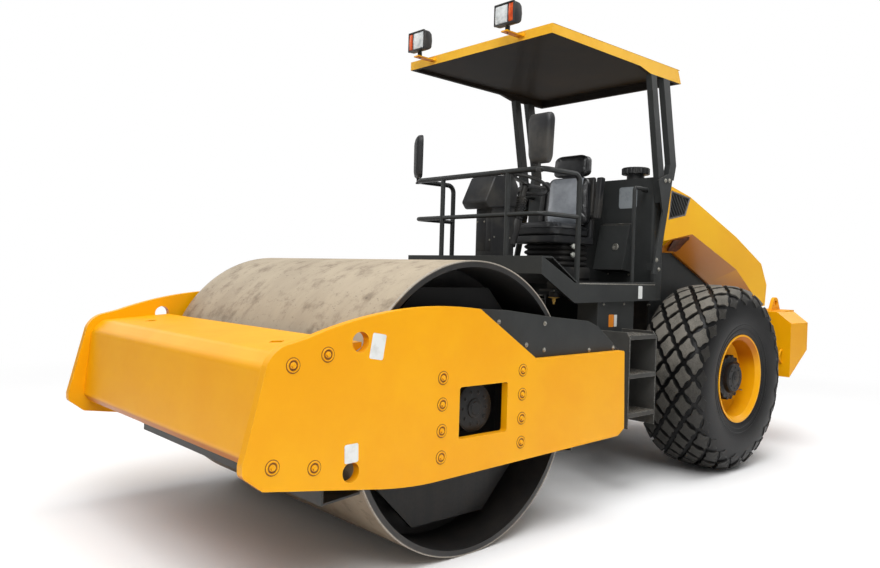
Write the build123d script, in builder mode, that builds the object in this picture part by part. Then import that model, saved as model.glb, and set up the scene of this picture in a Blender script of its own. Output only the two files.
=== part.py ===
from build123d import *
import os
from math import cos, radians, sin, sqrt

os.makedirs("parts", exist_ok=True)

# Single-drum soil roller with an open, roofed platform. Millimetres.
# +X is forward, +Y is the machine's left, +Z is up, and the ground is z = 0.
# The origin is on the ground in the middle of the length and the width.

# Main layout
drum_radius = 800
pivot_to_drum = 1493
pivot_to_axle = 1494
nose_reach = 1416
tail_reach = 1653
frame_width = 2300
tyre_radius = 745
running_gap = 0.1
seat_gap = 0.3

body_length = nose_reach + pivot_to_drum + pivot_to_axle + tail_reach
drum_x = body_length / 2 - nose_reach
pivot_x = drum_x - pivot_to_drum
axle_x = pivot_x - pivot_to_axle
tail_x = axle_x - tail_reach

# Front frame
plate_thickness = 45
plate_outer = frame_width / 2
plate_inner = plate_outer - plate_thickness
plate_rear = 1312
window_width = 366
window_height = 272
window_corner = 15
lift_hole_radius = 48
lift_hole_x = 828
lift_hole_z = 397
tie_hole_radius = 47
tie_hole_x = 865
tie_hole_z = -202
cover_thickness = 8
cross_beam_front = 870
cross_beam_rear = 1030
cross_beam_bottom = -300
cross_beam_top = 200
front_beam_bottom = -180
socket_x = 1040
socket_y = 760
socket_radius = 44
socket_floor = 340

# Drum
drum_end_gap = 40
drum_width = 2 * (plate_inner - drum_end_gap)
mount_plate_offset = plate_inner - 155
disc_offset = mount_plate_offset - 80
head_offset = disc_offset - 170
shell_thickness = 36
head_thickness = 30
disc_thickness = 25
disc_circle = 700
buffer_count = 8
buffer_radius = 60
buffer_circle = 520
spindle_radius = 70
hub_radius = 130
mount_bar_width = 70
mount_bar_height = 520
mount_bar_spacing = 608
mount_plate_thickness = 25
scraper_gap = 6
scraper_thickness = 12
scraper_drop = 335

# Centre joint
joint_height = 760
swing_pin_radius = 90
swing_pin_length = 220
swing_housing_radius = 185
swing_gap = 3
knuckle_half_width = 110
knuckle_height = 320
steer_pin_radius = 50
ear_thickness = 50
ear_gap = 5
ear_radius = 95
arm_x = 60
arm_y = 260
arm_thickness = 30
arm_radius = 50
link_gap = 1

# Steering cylinders
cylinder_base_x = -620
cylinder_base_y = 300
eye_radius = 44
eye_height = 58
barrel_radius = 50
barrel_bore = 40
barrel_start = 55
barrel_end = 458
barrel_wall = 24
gland_length = 18
neck_radius = 28
rod_radius = 28
rod_length = 430
piston_length = 25
base_pin_radius = 25

# Rear chassis
nose_length = 700
beam_outer = 480
beam_thickness = 50
chassis_top = 1010
chassis_bottom = 640
axle_arch_top = 870
web_offset = 160
web_thickness = 20

# Wheels
tyre_inner = 570
tyre_outer = 1130
lug_count = 21
lug_height = 28
lug_row_step = 124
lug_half_width = 90
lug_half_length = 78
rim_radius = 352
rim_bead_radius = 330
rim_inner = 620
rim_outer = 1105
hub_outer = 1060
disc_inner = 897
disc_outer = 915
axle_reach = 850
axle_end = 70
planet_radius = 170
axle_tube_radius = 110

# Platform
floor_height = 1480
ledge_height = 1658
platform_half = 690
platform_ahead = 508
ramp_top = 403
ramp_foot = 106
skirt_thickness = 20
floor_thickness = 12
tank_ahead = 627
tank_depth = 150
tank_top = 2325
tank_half = 660
rail_radius = 19
rail_top = 2245
rail_mid = 1945
console_left = 60
console_right = 200
pedestal_left = 40
pedestal_right = 130
mirror_width = 210
mirror_height = 340
mirror_depth = 60
mirror_lift = 15
mirror_reach = 70
mirror_turn = -35
ladder_ahead = -147
ladder_width = 343
ladder_outer = 955
ladder_inner = 660
ladder_top = 1145
ladder_bottom = 470
tread_heights = (560, 835, 1108)

# Canopy
canopy_half = 720
canopy_top = 3190
canopy_depth = 65
canopy_length = 1610
canopy_sag = 40
post_width = 72
post_thickness = 50

# Hood
hood_half = 712
hood_sill_half = 580
hood_wall = 25
hood_front = 460
hood_top = ((hood_front, 2262), (180, 2205), (-629, 1917), (-1133, 1693), (-1258, 1497))
grille_depth = 14
grille_frame = 12
louvre_depth = 9
grille_border = 16
louvre_pitch = 34
louvre_width = 14
louvre_lean = 52
back_grille_half = 400
hinge_back = 10
hinge_height = hood_top[0][1] - 12
hinge_pin_radius = 8
hinge_ear_radius = 16
hinge_y = 420
hinge_knuckle = 40
hinge_ear = 20
hinge_side_gap = 5

# Counterweight
weight_half = 950
weight_top = 1245
weight_bottom = 645
weight_front = -1273
lamp_proud = 12


def side_view(y, x=0.0, z=0.0):
    """Upright drawing plane along the machine; extrusion runs towards -Y."""
    return Plane(origin=(x, y, z), x_dir=(1, 0, 0), z_dir=(0, -1, 0))


def front_view(x, y=0.0, z=0.0):
    """Upright drawing plane across the machine; extrusion runs towards +X."""
    return Plane(origin=(x, y, z), x_dir=(0, 1, 0), z_dir=(1, 0, 0))


def top_view(z, x=0.0, y=0.0):
    """Level drawing plane; extrusion runs upwards."""
    return Plane(origin=(x, y, z), x_dir=(1, 0, 0), z_dir=(0, 0, 1))


def write(builder, label):
    """Name a finished piece and write it as its own STEP file."""
    builder.part.label = label
    export_step(builder.part, f"parts/{label}.step")


def corner(sketch, x, z):
    """The sketch vertex that lies nearest to a point."""
    return sketch.vertices().sort_by_distance((x, z, 0))[0]


# Side plates: thick steel profiles with a hump over the drum, a motor window and two lifting holes
with BuildPart() as side_plate_left:
    with BuildSketch(side_view(plate_outer, drum_x, drum_radius)) as outline:
        with BuildLine():
            hump = ThreePointArc((47, 541), (463, 553), (1122, 422))
            shoulder = Line(hump @ 1, (1199, 403))
            nose = ThreePointArc(shoulder @ 1, (1270, 372), (1313, 314))
            toe = Polyline(nose @ 1, (nose_reach, -95), (nose_reach, -140))
            chin = Line(toe @ 1, (1318, -215))
            sole = Line(chin @ 1, (749, -300))
            keel = ThreePointArc(sole @ 1, (560, -324), (362, -332))
            Polyline(keel @ 1, (-1245, -292), (-plate_rear, -250), (-1289, 256), (-423, 249), hump @ 0)
        make_face()
        fillet(corner(outline, -1245, -292), 60)
        fillet(corner(outline, -1289, 256), 15)
        fillet(corner(outline, nose_reach, -95), 60)
        fillet(corner(outline, nose_reach, -140), 30)
        RectangleRounded(window_width, window_height, window_corner, mode=Mode.SUBTRACT)
        with Locations((lift_hole_x, lift_hole_z)):
            Circle(lift_hole_radius, mode=Mode.SUBTRACT)
        with Locations((tie_hole_x, tie_hole_z)):
            Circle(tie_hole_radius, mode=Mode.SUBTRACT)
    extrude(amount=plate_thickness)
write(side_plate_left, "side_plate_left")

with BuildPart() as side_plate_right:
    mirror(side_plate_left.part, about=Plane.XZ)
write(side_plate_right, "side_plate_right")

# Front beam: folded box between the plates, with a sloping deck and a rounded brow and chin
with BuildPart() as front_beam:
    with BuildSketch(side_view(plate_inner, drum_x, drum_radius)) as outline:
        with BuildLine():
            Polyline(
                (790, 393), (1215, 362), (1285, 300), (1325, -110), (1280, -160), (1100, front_beam_bottom),
                (930, front_beam_bottom), (930, 300), (790, 368), close=True,
            )
        make_face()
        fillet(corner(outline, 1215, 362), 60)
        fillet(corner(outline, 1285, 300), 60)
        fillet(corner(outline, 1325, -110), 45)
        fillet(corner(outline, 1280, -160), 45)
    extrude(amount=2 * plate_inner)
    with BuildSketch(top_view(drum_radius + socket_floor, drum_x + socket_x)):
        with Locations((0, socket_y), (0, -socket_y)):
            RegularPolygon(socket_radius, 4)
    extrude(amount=100, mode=Mode.SUBTRACT)
write(front_beam, "front_beam")

# Rear cross beam with the housing of the swing bearing
with BuildPart() as rear_beam:
    with BuildSketch(side_view(plate_inner, drum_x, drum_radius)):
        with Locations(((-cross_beam_front - cross_beam_rear) / 2, (cross_beam_top + cross_beam_bottom) / 2)):
            Rectangle(cross_beam_rear - cross_beam_front, cross_beam_top - cross_beam_bottom)
    extrude(amount=2 * plate_inner)
    housing_face = pivot_x + 285 + swing_gap
    with BuildSketch(front_view(housing_face, 0, joint_height)):
        Circle(swing_housing_radius)
    extrude(until=Until.NEXT)
    with BuildSketch(front_view(housing_face, 0, joint_height)):
        Circle(swing_pin_radius + running_gap)
    extrude(amount=swing_pin_length + 20, mode=Mode.SUBTRACT)
    for level in (joint_height - 120, joint_height + 90):
        with BuildSketch(top_view(level, drum_x - cross_beam_rear)):
            Polygon((0, -430), (0, 430), (-130, 150), (-130, -150), align=None)
        extrude(amount=30)
    with BuildSketch(front_view(housing_face, 0, joint_height)):
        Circle(swing_pin_radius + running_gap)
    extrude(amount=swing_pin_length + 20, mode=Mode.SUBTRACT)
write(rear_beam, "rear_beam")

# Rear covers: thin plates bolted inside the side plates above their stepped tails
with BuildPart() as covers:
    with BuildSketch(side_view(plate_inner, drum_x, drum_radius)):
        with BuildLine():
            Polyline(
                (33, 540), (-209, 529), (-563, 488), (-950, 453), (-1057, 415), (-1289, 259), (-1280, 215),
                (-440, 208), close=True,
            )
        make_face()
    extrude(amount=cover_thickness)
    mirror(about=Plane.XZ)
write(covers, "covers")

# Drum mounts: bars bolted to the side plates carry a plate with the drive or vibration motor and a spindle
with BuildPart() as drum_mounts:
    bar_length = plate_inner - mount_plate_offset - mount_plate_thickness
    with BuildSketch(side_view(plate_inner, drum_x, drum_radius)):
        with GridLocations(mount_bar_spacing, 1, 2, 1):
            Rectangle(mount_bar_width, mount_bar_height)
    extrude(amount=bar_length)
    with BuildSketch(side_view(mount_plate_offset + mount_plate_thickness, drum_x, drum_radius)):
        RectangleRounded(mount_bar_spacing + mount_bar_width, mount_bar_height, 60)
    extrude(amount=mount_plate_thickness)
    with BuildSketch(side_view(plate_inner - 30, drum_x, drum_radius)):
        Circle(hub_radius)
    extrude(amount=plate_inner - 30 - mount_plate_offset)
    with BuildSketch(side_view(mount_plate_offset, drum_x, drum_radius)):
        Circle(spindle_radius)
    extrude(amount=mount_plate_offset - head_offset - head_thickness - 10)
    mirror(about=Plane.XZ)
write(drum_mounts, "drum_mounts")

# Scrapers: full-width blades that hang from the two beams and stand just off the drum
with BuildPart() as scrapers:
    blade_reach = sqrt((drum_radius + scraper_gap) ** 2 - scraper_drop**2)
    blade_half = drum_width / 2 - 15
    for side, root, beam_bottom in ((1, 945, front_beam_bottom), (-1, 885, cross_beam_bottom)):
        with BuildSketch(side_view(blade_half, drum_x, drum_radius)):
            with BuildLine():
                Polyline(
                    (side * blade_reach, -scraper_drop),
                    (side * root, -scraper_drop - 20),
                    (side * root, beam_bottom),
                    (side * (root + scraper_thickness), beam_bottom),
                    (side * (root + scraper_thickness), -scraper_drop - 20 - scraper_thickness),
                    (side * (blade_reach + 4), -scraper_drop - scraper_thickness),
                    close=True,
                )
            make_face()
        extrude(amount=2 * blade_half)
write(scrapers, "scrapers")

# Drum: rolled shell with two welded heads set in from its ends
with BuildPart() as drum:
    with BuildSketch(side_view(drum_width / 2, drum_x, drum_radius)):
        Circle(drum_radius)
        Circle(drum_radius - shell_thickness, mode=Mode.SUBTRACT)
    extrude(amount=drum_width)
    for face in (head_offset + head_thickness, -head_offset):
        with BuildSketch(side_view(face, drum_x, drum_radius)):
            Circle(drum_radius - shell_thickness)
        extrude(amount=head_thickness)
write(drum, "drum")

# Drive discs: eight-sided plates with a bored boss, one at each end of the drum
with BuildPart() as drum_discs:
    with BuildSketch(side_view(disc_offset + disc_thickness, drum_x, drum_radius)):
        RegularPolygon(disc_circle, 8, rotation=22.5)
    extrude(amount=disc_thickness)
    with BuildSketch(side_view(mount_plate_offset - 5, drum_x, drum_radius)):
        Circle(hub_radius)
    extrude(amount=mount_plate_offset - 5 - disc_offset)
    with BuildSketch(side_view(mount_plate_offset, drum_x, drum_radius)):
        Circle(spindle_radius + running_gap)
    extrude(amount=mount_plate_offset - disc_offset, mode=Mode.SUBTRACT)
    mirror(about=Plane.XZ)
write(drum_discs, "drum_discs")

# Rubber buffers between the heads and the discs
with BuildPart() as buffers:
    with BuildSketch(side_view(disc_offset, drum_x, drum_radius)):
        with PolarLocations(buffer_circle, buffer_count):
            Circle(buffer_radius)
    extrude(amount=disc_offset - head_offset - head_thickness)
    mirror(about=Plane.XZ)
write(buffers, "buffers")

# Knuckle: block on the upright steering pin, with the lengthwise swing pin and the steering arms
with BuildPart() as knuckle:
    with BuildSketch(top_view(joint_height - knuckle_height / 2, pivot_x)):
        with Locations((72.5, 0)):
            Rectangle(345, 2 * knuckle_half_width)
    extrude(amount=knuckle_height)
    fillet(knuckle.edges().filter_by(Axis.Z).group_by(Axis.X)[0], 40)
    with BuildSketch(front_view(pivot_x + 245, 0, joint_height)):
        Circle(swing_housing_radius - 15)
    extrude(amount=40)
    with BuildSketch(front_view(pivot_x + 285, 0, joint_height)):
        Circle(swing_pin_radius)
    extrude(amount=swing_pin_length + swing_gap)
    arm_gap = eye_height / 2 + link_gap
    for level in (joint_height - arm_gap - arm_thickness, joint_height + arm_gap):
        with BuildSketch(top_view(level, pivot_x)):
            for side in (1, -1):
                Polygon(
                    (-60, side * 100), (arm_x + arm_radius, side * 100),
                    (arm_x + arm_radius, side * arm_y), (arm_x - arm_radius, side * arm_y), align=None,
                )
                with Locations((arm_x, side * arm_y)):
                    Circle(arm_radius)
        extrude(amount=arm_thickness)
    with BuildSketch(top_view(joint_height - knuckle_height / 2, pivot_x)):
        Circle(steer_pin_radius + running_gap)
    extrude(amount=knuckle_height, mode=Mode.SUBTRACT)
write(knuckle, "knuckle")


# Steering cylinders: barrel pinned to the chassis, rod whose eye stands between the knuckle's arms
def steering_cylinder(side):
    """Barrel and rod of one steering cylinder, drawn about its own centreline."""
    base = (pivot_x + cylinder_base_x, side * cylinder_base_y)
    tip = (pivot_x + arm_x, side * arm_y)
    reach = sqrt((tip[0] - base[0]) ** 2 + (tip[1] - base[1]) ** 2)
    along = ((tip[0] - base[0]) / reach, (tip[1] - base[1]) / reach, 0)
    centre = Axis((base[0], base[1], joint_height), along)
    section = Plane(origin=(base[0], base[1], joint_height), x_dir=along, z_dir=(0, 0, 1))
    eye_bottom = joint_height - eye_height / 2
    with BuildPart() as barrel:
        with BuildSketch(section):
            with BuildLine():
                Polyline(
                    (eye_radius - 10, 0), (eye_radius - 10, neck_radius), (barrel_start, neck_radius),
                    (barrel_start, barrel_radius), (barrel_end, barrel_radius),
                    (barrel_end, rod_radius + running_gap),
                    (barrel_end - gland_length, rod_radius + running_gap),
                    (barrel_end - gland_length, barrel_bore + running_gap),
                    (barrel_start + barrel_wall, barrel_bore + running_gap),
                    (barrel_start + barrel_wall, 0), close=True,
                )
            make_face()
        revolve(axis=centre)
        with BuildSketch(top_view(eye_bottom, *base)):
            Circle(eye_radius)
        extrude(amount=eye_height)
        with BuildSketch(top_view(eye_bottom, *base)):
            Circle(base_pin_radius + running_gap)
        extrude(amount=eye_height, mode=Mode.SUBTRACT)
    with BuildPart() as rod:
        with BuildSketch(section):
            with BuildLine():
                Polyline(
                    (reach - rod_length, 0), (reach - rod_length, barrel_bore),
                    (reach - rod_length + piston_length, barrel_bore),
                    (reach - rod_length + piston_length, rod_radius), (reach, rod_radius), (reach, 0),
                    close=True,
                )
            make_face()
        revolve(axis=centre)
        with BuildSketch(top_view(eye_bottom, *tip)):
            Circle(eye_radius)
        extrude(amount=eye_height)
    return barrel, rod


for side_name, side in (("left", 1), ("right", -1)):
    cylinder_barrel, cylinder_rod = steering_cylinder(side)
    write(cylinder_barrel, f"steer_barrel_{side_name}")
    write(cylinder_rod, f"steer_rod_{side_name}")

# Rear chassis: two side beams, a tapered nose with the steering ears and pin, and cross members
ear_top = joint_height + knuckle_height / 2 + ear_gap
ear_bottom = joint_height - knuckle_height / 2 - ear_gap - ear_thickness
root_x = pivot_x - nose_length
beam_front = root_x + 140
weight_x = axle_x + weight_front
with BuildPart() as rear_chassis:
    for level in (ear_bottom, ear_top):
        with BuildSketch(top_view(level)):
            with Locations((pivot_x, 0)):
                Circle(ear_radius)
            with Locations((root_x, 0)):
                Rectangle(60, 2 * beam_outer)
            make_hull()
        extrude(amount=ear_thickness)
    with BuildSketch(top_view(ear_bottom + ear_thickness)):
        with Locations(((root_x + pivot_x - 230) / 2, web_offset), ((root_x + pivot_x - 230) / 2, -web_offset)):
            Rectangle(nose_length - 230, web_thickness)
    extrude(amount=ear_top - ear_bottom - ear_thickness)
    with BuildSketch(side_view(beam_outer)):
        with BuildLine():
            Polyline(
                (beam_front, ear_bottom), (beam_front, ear_top), (beam_front - 90, chassis_top),
                (weight_x, chassis_top), (weight_x, chassis_bottom), (axle_x - 330, chassis_bottom),
                (axle_x - 210, axle_arch_top), (axle_x + 210, axle_arch_top), (axle_x + 360, ear_bottom),
                close=True,
            )
        make_face()
    extrude(amount=beam_thickness)
    mirror(about=Plane.XZ)
    with BuildSketch(top_view(ear_bottom + ear_thickness)):
        with Locations((root_x - 20, 0)):
            Rectangle(40, 2 * beam_outer)
    extrude(amount=ear_top - ear_bottom - ear_thickness)
    for base_level in (joint_height - eye_height / 2 - link_gap - 25, joint_height + eye_height / 2 + link_gap):
        with BuildSketch(top_view(base_level, pivot_x + cylinder_base_x)):
            for side in (1, -1):
                with Locations((-45, side * cylinder_base_y)):
                    Rectangle(90, 2 * eye_radius)
                with Locations((0, side * cylinder_base_y)):
                    Circle(eye_radius)
        extrude(amount=25)
    with BuildSketch(top_view(joint_height - eye_height, pivot_x + cylinder_base_x)):
        with Locations((0, cylinder_base_y), (0, -cylinder_base_y)):
            Circle(base_pin_radius)
    extrude(amount=2 * eye_height)
    with BuildSketch(top_view(ear_bottom - 15, pivot_x)):
        Circle(steer_pin_radius)
    extrude(amount=ear_top + ear_thickness + 15 - ear_bottom + 15)
    for cross_x in (axle_x + 70, axle_x - 760):
        with BuildSketch(top_view(chassis_top - 110, cross_x)):
            Rectangle(70, 2 * beam_outer)
        extrude(amount=50)
    with BuildSketch(front_view(weight_x)):
        with Locations((0, (chassis_top + chassis_bottom) / 2)):
            Rectangle(2 * beam_outer, chassis_top - chassis_bottom)
    extrude(amount=50)
write(rear_chassis, "rear_chassis")

# Rear axle: straight tube with a bowl in the middle, hung under the beams on two pads
with BuildPart() as rear_axle:
    with BuildSketch(side_view(rim_inner - 20, axle_x, tyre_radius)):
        Circle(axle_tube_radius)
    extrude(amount=2 * (rim_inner - 20))
    with Locations((axle_x, 0, tyre_radius)):
        Sphere(150)
    with BuildSketch(top_view(tyre_radius, axle_x)):
        with GridLocations(1, 2 * (beam_outer - beam_thickness / 2), 1, 2):
            Rectangle(200, beam_thickness + 40)
    extrude(amount=axle_arch_top - tyre_radius)
    with BuildSketch(side_view(axle_reach, axle_x, tyre_radius)):
        Circle(axle_end)
    extrude(amount=2 * axle_reach)
write(rear_axle, "rear_axle")


# Tread lugs: diamond blocks in five staggered rows; the outer rows lean over the shoulders
tyre_middle = (tyre_inner + tyre_outer) / 2
tread_base = tyre_radius - lug_height
lug_flat = sqrt(tyre_radius**2 - lug_half_length**2)
diamond = ((lug_half_width, 0), (0, lug_half_length), (-lug_half_width, 0), (0, -lug_half_length))
shoulder_cut = 25
lug_sink = 12


def lug_block(row_y, lean, height, outline=diamond):
    """One lug on top of the wheel, drawn about the wheel's axis, leaning outwards by a number of degrees."""
    top = Plane(
        origin=(0, tyre_middle + row_y, height), x_dir=(0, cos(radians(lean)), -sin(radians(lean))),
        z_dir=(0, sin(radians(lean)), cos(radians(lean))),
    )
    with BuildPart() as block:
        with BuildSketch(top):
            Polygon(*outline, align=None)
        extrude(amount=-lug_height - lug_sink)
    return block.part


straight_row = [lug_block(0, 0, lug_flat)]
for direction in (1, -1):
    arrow = (
        (-direction * lug_half_width, 0), (direction * shoulder_cut, lug_half_length),
        (direction * shoulder_cut, -lug_half_length),
    )
    straight_row.append(lug_block(direction * 2 * lug_row_step, direction * 32, lug_flat - 48, arrow))
shifted_row = [lug_block(direction * lug_row_step, direction * 7, lug_flat - 8) for direction in (1, -1)]


def ring_places(phase):
    """Places of one row of lugs round the tyre's axis, shifted by a share of the pitch."""
    return [
        Location((axle_x, 0, tyre_radius), (0, 360 / lug_count * (step + phase), 0)) for step in range(lug_count)
    ]


# Wheels: dished rim on a planet hub, and a wide low-pressure tyre
def wheel(side):
    """Rim, hub and tyre of one rear wheel."""
    spin = Axis((axle_x, 0, tyre_radius), (0, 1, 0))
    half_section = Plane(origin=(axle_x, 0, tyre_radius), x_dir=(0, 1, 0), z_dir=(-1, 0, 0))
    with BuildPart() as rim:
        with BuildSketch(half_section):
            with BuildLine():
                Polyline(
                    (rim_inner, rim_radius), (rim_inner + 14, rim_radius), (rim_inner + 30, rim_bead_radius),
                    (rim_outer - 30, rim_bead_radius), (rim_outer - 14, rim_radius), (rim_outer, rim_radius),
                    (rim_outer, rim_radius - 14), (rim_outer - 30, rim_bead_radius - 22),
                    (disc_outer + 25, rim_bead_radius - 22), (disc_outer, 240), (disc_outer, planet_radius - 40),
                    (disc_inner, planet_radius - 40), (disc_inner, 250), (disc_outer, rim_bead_radius - 22),
                    (rim_inner + 30, rim_bead_radius - 22), (rim_inner, rim_radius - 14), close=True,
                )
            make_face()
        revolve(axis=spin)
        if side < 0:
            mirror(about=Plane.XZ, mode=Mode.REPLACE)
    with BuildPart() as hub:
        with BuildSketch(half_section):
            with BuildLine():
                Polyline(
                    (rim_inner - 15, axle_end + running_gap), (rim_inner - 15, 150),
                    (disc_inner - seat_gap, 150), (disc_inner - seat_gap, planet_radius - 40 - seat_gap),
                    (disc_outer + seat_gap, planet_radius - 40 - seat_gap),
                    (disc_outer + seat_gap, planet_radius), (1012, planet_radius), (1020, 125),
                    (hub_outer - 10, 118), (hub_outer, 108), (hub_outer, 0), (axle_reach + 5, 0),
                    (axle_reach + 5, axle_end + running_gap), close=True,
                )
            make_face()
        revolve(axis=spin)
        if side < 0:
            mirror(about=Plane.XZ, mode=Mode.REPLACE)
    with BuildPart() as tyre:
        for ring_y, ring_radius in (
            (tyre_outer - 25, rim_radius + 12), (tyre_outer, rim_radius + 170), (tyre_outer - 12, tread_base - 110),
            (tyre_middle + 225, tread_base - 6), (tyre_middle - 225, tread_base - 6),
            (tyre_inner + 12, tread_base - 110), (tyre_inner, rim_radius + 170), (tyre_inner + 25, rim_radius + 12),
        ):
            with BuildSketch(side_view(ring_y, axle_x, tyre_radius)):
                RegularPolygon(ring_radius, 2 * lug_count, rotation=90)
        loft(ruled=True)
        with Locations(*ring_places(0)):
            for lug in straight_row:
                add(lug)
        with Locations(*ring_places(0.5)):
            for lug in shifted_row:
                add(lug)
        with BuildSketch(side_view(tyre_outer, axle_x, tyre_radius)):
            RegularPolygon(rim_radius + seat_gap, 2 * lug_count, rotation=90, major_radius=False)
        extrude(amount=tyre_outer - tyre_inner, mode=Mode.SUBTRACT)
        if side < 0:
            mirror(about=Plane.XZ, mode=Mode.REPLACE)
    return rim, hub, tyre


for side_name, side in (("left", 1), ("right", -1)):
    wheel_rim, wheel_hub, wheel_tyre = wheel(side)
    write(wheel_rim, f"rim_{side_name}")
    write(wheel_hub, f"hub_{side_name}")
    write(wheel_tyre, f"tyre_{side_name}")

# Platform: folded floor with a raised front ledge and deep side skirts
platform_front = pivot_x + platform_ahead
tank_x = axle_x + tank_ahead
with BuildPart() as platform:
    skirt_outline = (
        (platform_front, ledge_height), (platform_front, ledge_height - 120), (pivot_x + 140, 1340),
        (tank_x - 5, 1355), (tank_x - 5, floor_height + 18), (pivot_x + 147, floor_height + 2),
    )
    with BuildSketch(side_view(platform_half)):
        Polygon(*skirt_outline, align=None)
    extrude(amount=skirt_thickness)
    mirror(about=Plane.XZ)
    with BuildSketch(side_view(platform_half)):
        with BuildLine():
            Polyline(
                (platform_front, ledge_height), (platform_front, ledge_height - 120),
                (platform_front - skirt_thickness, ledge_height - 120),
                (platform_front - skirt_thickness, ledge_height - floor_thickness),
                (pivot_x + ramp_top - 5, ledge_height - floor_thickness),
                (pivot_x + ramp_foot - 5, floor_height - floor_thickness),
                (tank_x, floor_height - floor_thickness), (tank_x, floor_height),
                (pivot_x + ramp_foot, floor_height), (pivot_x + ramp_top, ledge_height),
                close=True,
            )
        make_face()
    extrude(amount=2 * platform_half)
write(platform, "platform")

# Side boxes: closed steel boxes under the floor that carry the platform and the ladders
box_front = pivot_x + ladder_ahead - 20
box_rear = pivot_x - 627
with BuildPart() as side_boxes:
    with BuildSketch(side_view(ladder_inner)):
        with BuildLine():
            Polyline(
                (box_front, 620), (box_front, floor_height - floor_thickness),
                (box_rear, floor_height - floor_thickness), (box_rear, 620), (box_rear + 60, 560),
                (box_front - 60, 560), close=True,
            )
        make_face()
    extrude(amount=ladder_inner - beam_outer)
    mirror(about=Plane.XZ)
write(side_boxes, "side_boxes")

# Ladders: two cheeks and three treads on each side
ladder_front = pivot_x + ladder_ahead
with BuildPart() as ladders:
    cheek = 10
    for cheek_x in (ladder_front - cheek, ladder_front - ladder_width):
        with BuildSketch(front_view(cheek_x)) as cheek_outline:
            with BuildLine():
                Polyline(
                    (ladder_inner, ladder_bottom + 60), (ladder_inner, ladder_top),
                    (ladder_outer - 30, ladder_top), (ladder_outer, ladder_top - 40),
                    (ladder_outer, ladder_bottom), (ladder_inner + 80, ladder_bottom), close=True,
                )
            make_face()
        extrude(amount=cheek)
    for height in tread_heights:
        with BuildSketch(side_view(ladder_outer, ladder_front - ladder_width / 2, height)):
            Rectangle(ladder_width - 2 * cheek, 30)
        extrude(amount=200)
    mirror(about=Plane.XZ)
write(ladders, "ladders")

# Tank: upright hydraulic oil tank across the back of the platform
with BuildPart() as tank:
    with BuildSketch(top_view(1355, tank_x - tank_depth / 2)):
        Rectangle(tank_depth, 2 * tank_half)
    extrude(amount=tank_top - 1355)
    fillet(tank.edges().filter_by(Axis.Z), 25)
    hinge_x = axle_x + hood_front - hinge_back
    ear_middle = hinge_knuckle / 2 + hinge_side_gap + hinge_ear / 2
    tank_back = tank_x - tank_depth
    for side in (1, -1):
        for ear_y in (hinge_y - ear_middle, hinge_y + ear_middle):
            with BuildSketch(side_view(side * ear_y + hinge_ear / 2, hinge_x, hinge_height)):
                Circle(hinge_ear_radius)
                with Locations(((tank_back - hinge_x) / 2, 0)):
                    Rectangle(tank_back - hinge_x, 2 * hinge_ear_radius)
            extrude(amount=hinge_ear)
        with BuildSketch(side_view(side * hinge_y + ear_middle, hinge_x, hinge_height)):
            Circle(hinge_pin_radius)
        extrude(amount=2 * ear_middle)
write(tank, "tank")

# Tank cap: ribbed black filler cap on the tank's left shoulder
with BuildPart() as tank_cap:
    with BuildSketch(top_view(tank_top, tank_x - tank_depth / 2, 430)):
        Circle(70)
    extrude(amount=40)
    with BuildSketch(top_view(tank_top + 40, tank_x - tank_depth / 2, 430)):
        Circle(112)
    extrude(amount=60)
    fillet(tank_cap.faces().sort_by(Axis.Z)[-1].edges(), 12)
write(tank_cap, "tank_cap")

# Tool box: wedge-shaped locker on the front of the tank
with BuildPart() as tool_box:
    with BuildSketch(side_view(480)):
        Polygon((tank_x, 1570), (tank_x, 1970), (tank_x + 60, 1950), (tank_x + 150, 1590), align=None)
    extrude(amount=280)
write(tool_box, "tool_box")

# Bay panels: steel sides of the engine bay, standing on the beams under the hood's sill
with BuildPart() as bay_panels:
    with BuildSketch(side_view(hood_sill_half - hood_wall - 5)):
        with BuildLine():
            Polyline(
                (tank_x - tank_depth, chassis_top), (tank_x - tank_depth, 1775), (axle_x + 187, 1778),
                (axle_x - 390, 1535), (axle_x - 900, 1335), (weight_x + 70, 1300), (weight_x + 70, chassis_top),
                close=True,
            )
        make_face()
    extrude(amount=20)
    mirror(about=Plane.XZ)
write(bay_panels, "bay_panels")


def rod_path(points, bend):
    """Centreline of a bent tube through the given points."""
    return FilletPolyline(*points, radius=bend)


# Front rail: bent tube round the front of the platform, a middle rail and four posts
with BuildPart() as front_rail:
    rail_x = platform_front - 30
    rail_half = platform_half - 42
    side_post_x = pivot_x + 75
    with BuildLine() as top_path:
        rod_path(
            (
                (side_post_x, rail_half, floor_height + 1), (side_post_x, rail_half, rail_top),
                (rail_x, rail_half, rail_top), (rail_x, -rail_half, rail_top),
                (side_post_x, -rail_half, rail_top), (side_post_x, -rail_half, floor_height + 1),
            ),
            60,
        )
    with BuildSketch(Plane(origin=top_path.line @ 0, z_dir=top_path.line % 0)):
        Circle(rail_radius)
    sweep(path=top_path.line)
    with BuildLine() as middle_path:
        rod_path(
            (
                (side_post_x, rail_half, rail_mid), (rail_x, rail_half, rail_mid),
                (rail_x, -rail_half, rail_mid), (side_post_x, -rail_half, rail_mid),
            ),
            60,
        )
    with BuildSketch(Plane(origin=middle_path.line @ 0, z_dir=middle_path.line % 0)):
        Circle(rail_radius - 3)
    sweep(path=middle_path.line)
    with BuildSketch(top_view(ledge_height, rail_x)):
        with Locations((0, 335), (0, -335)):
            Circle(rail_radius - 1)
    extrude(amount=rail_top - ledge_height)
write(front_rail, "front_rail")

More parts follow.
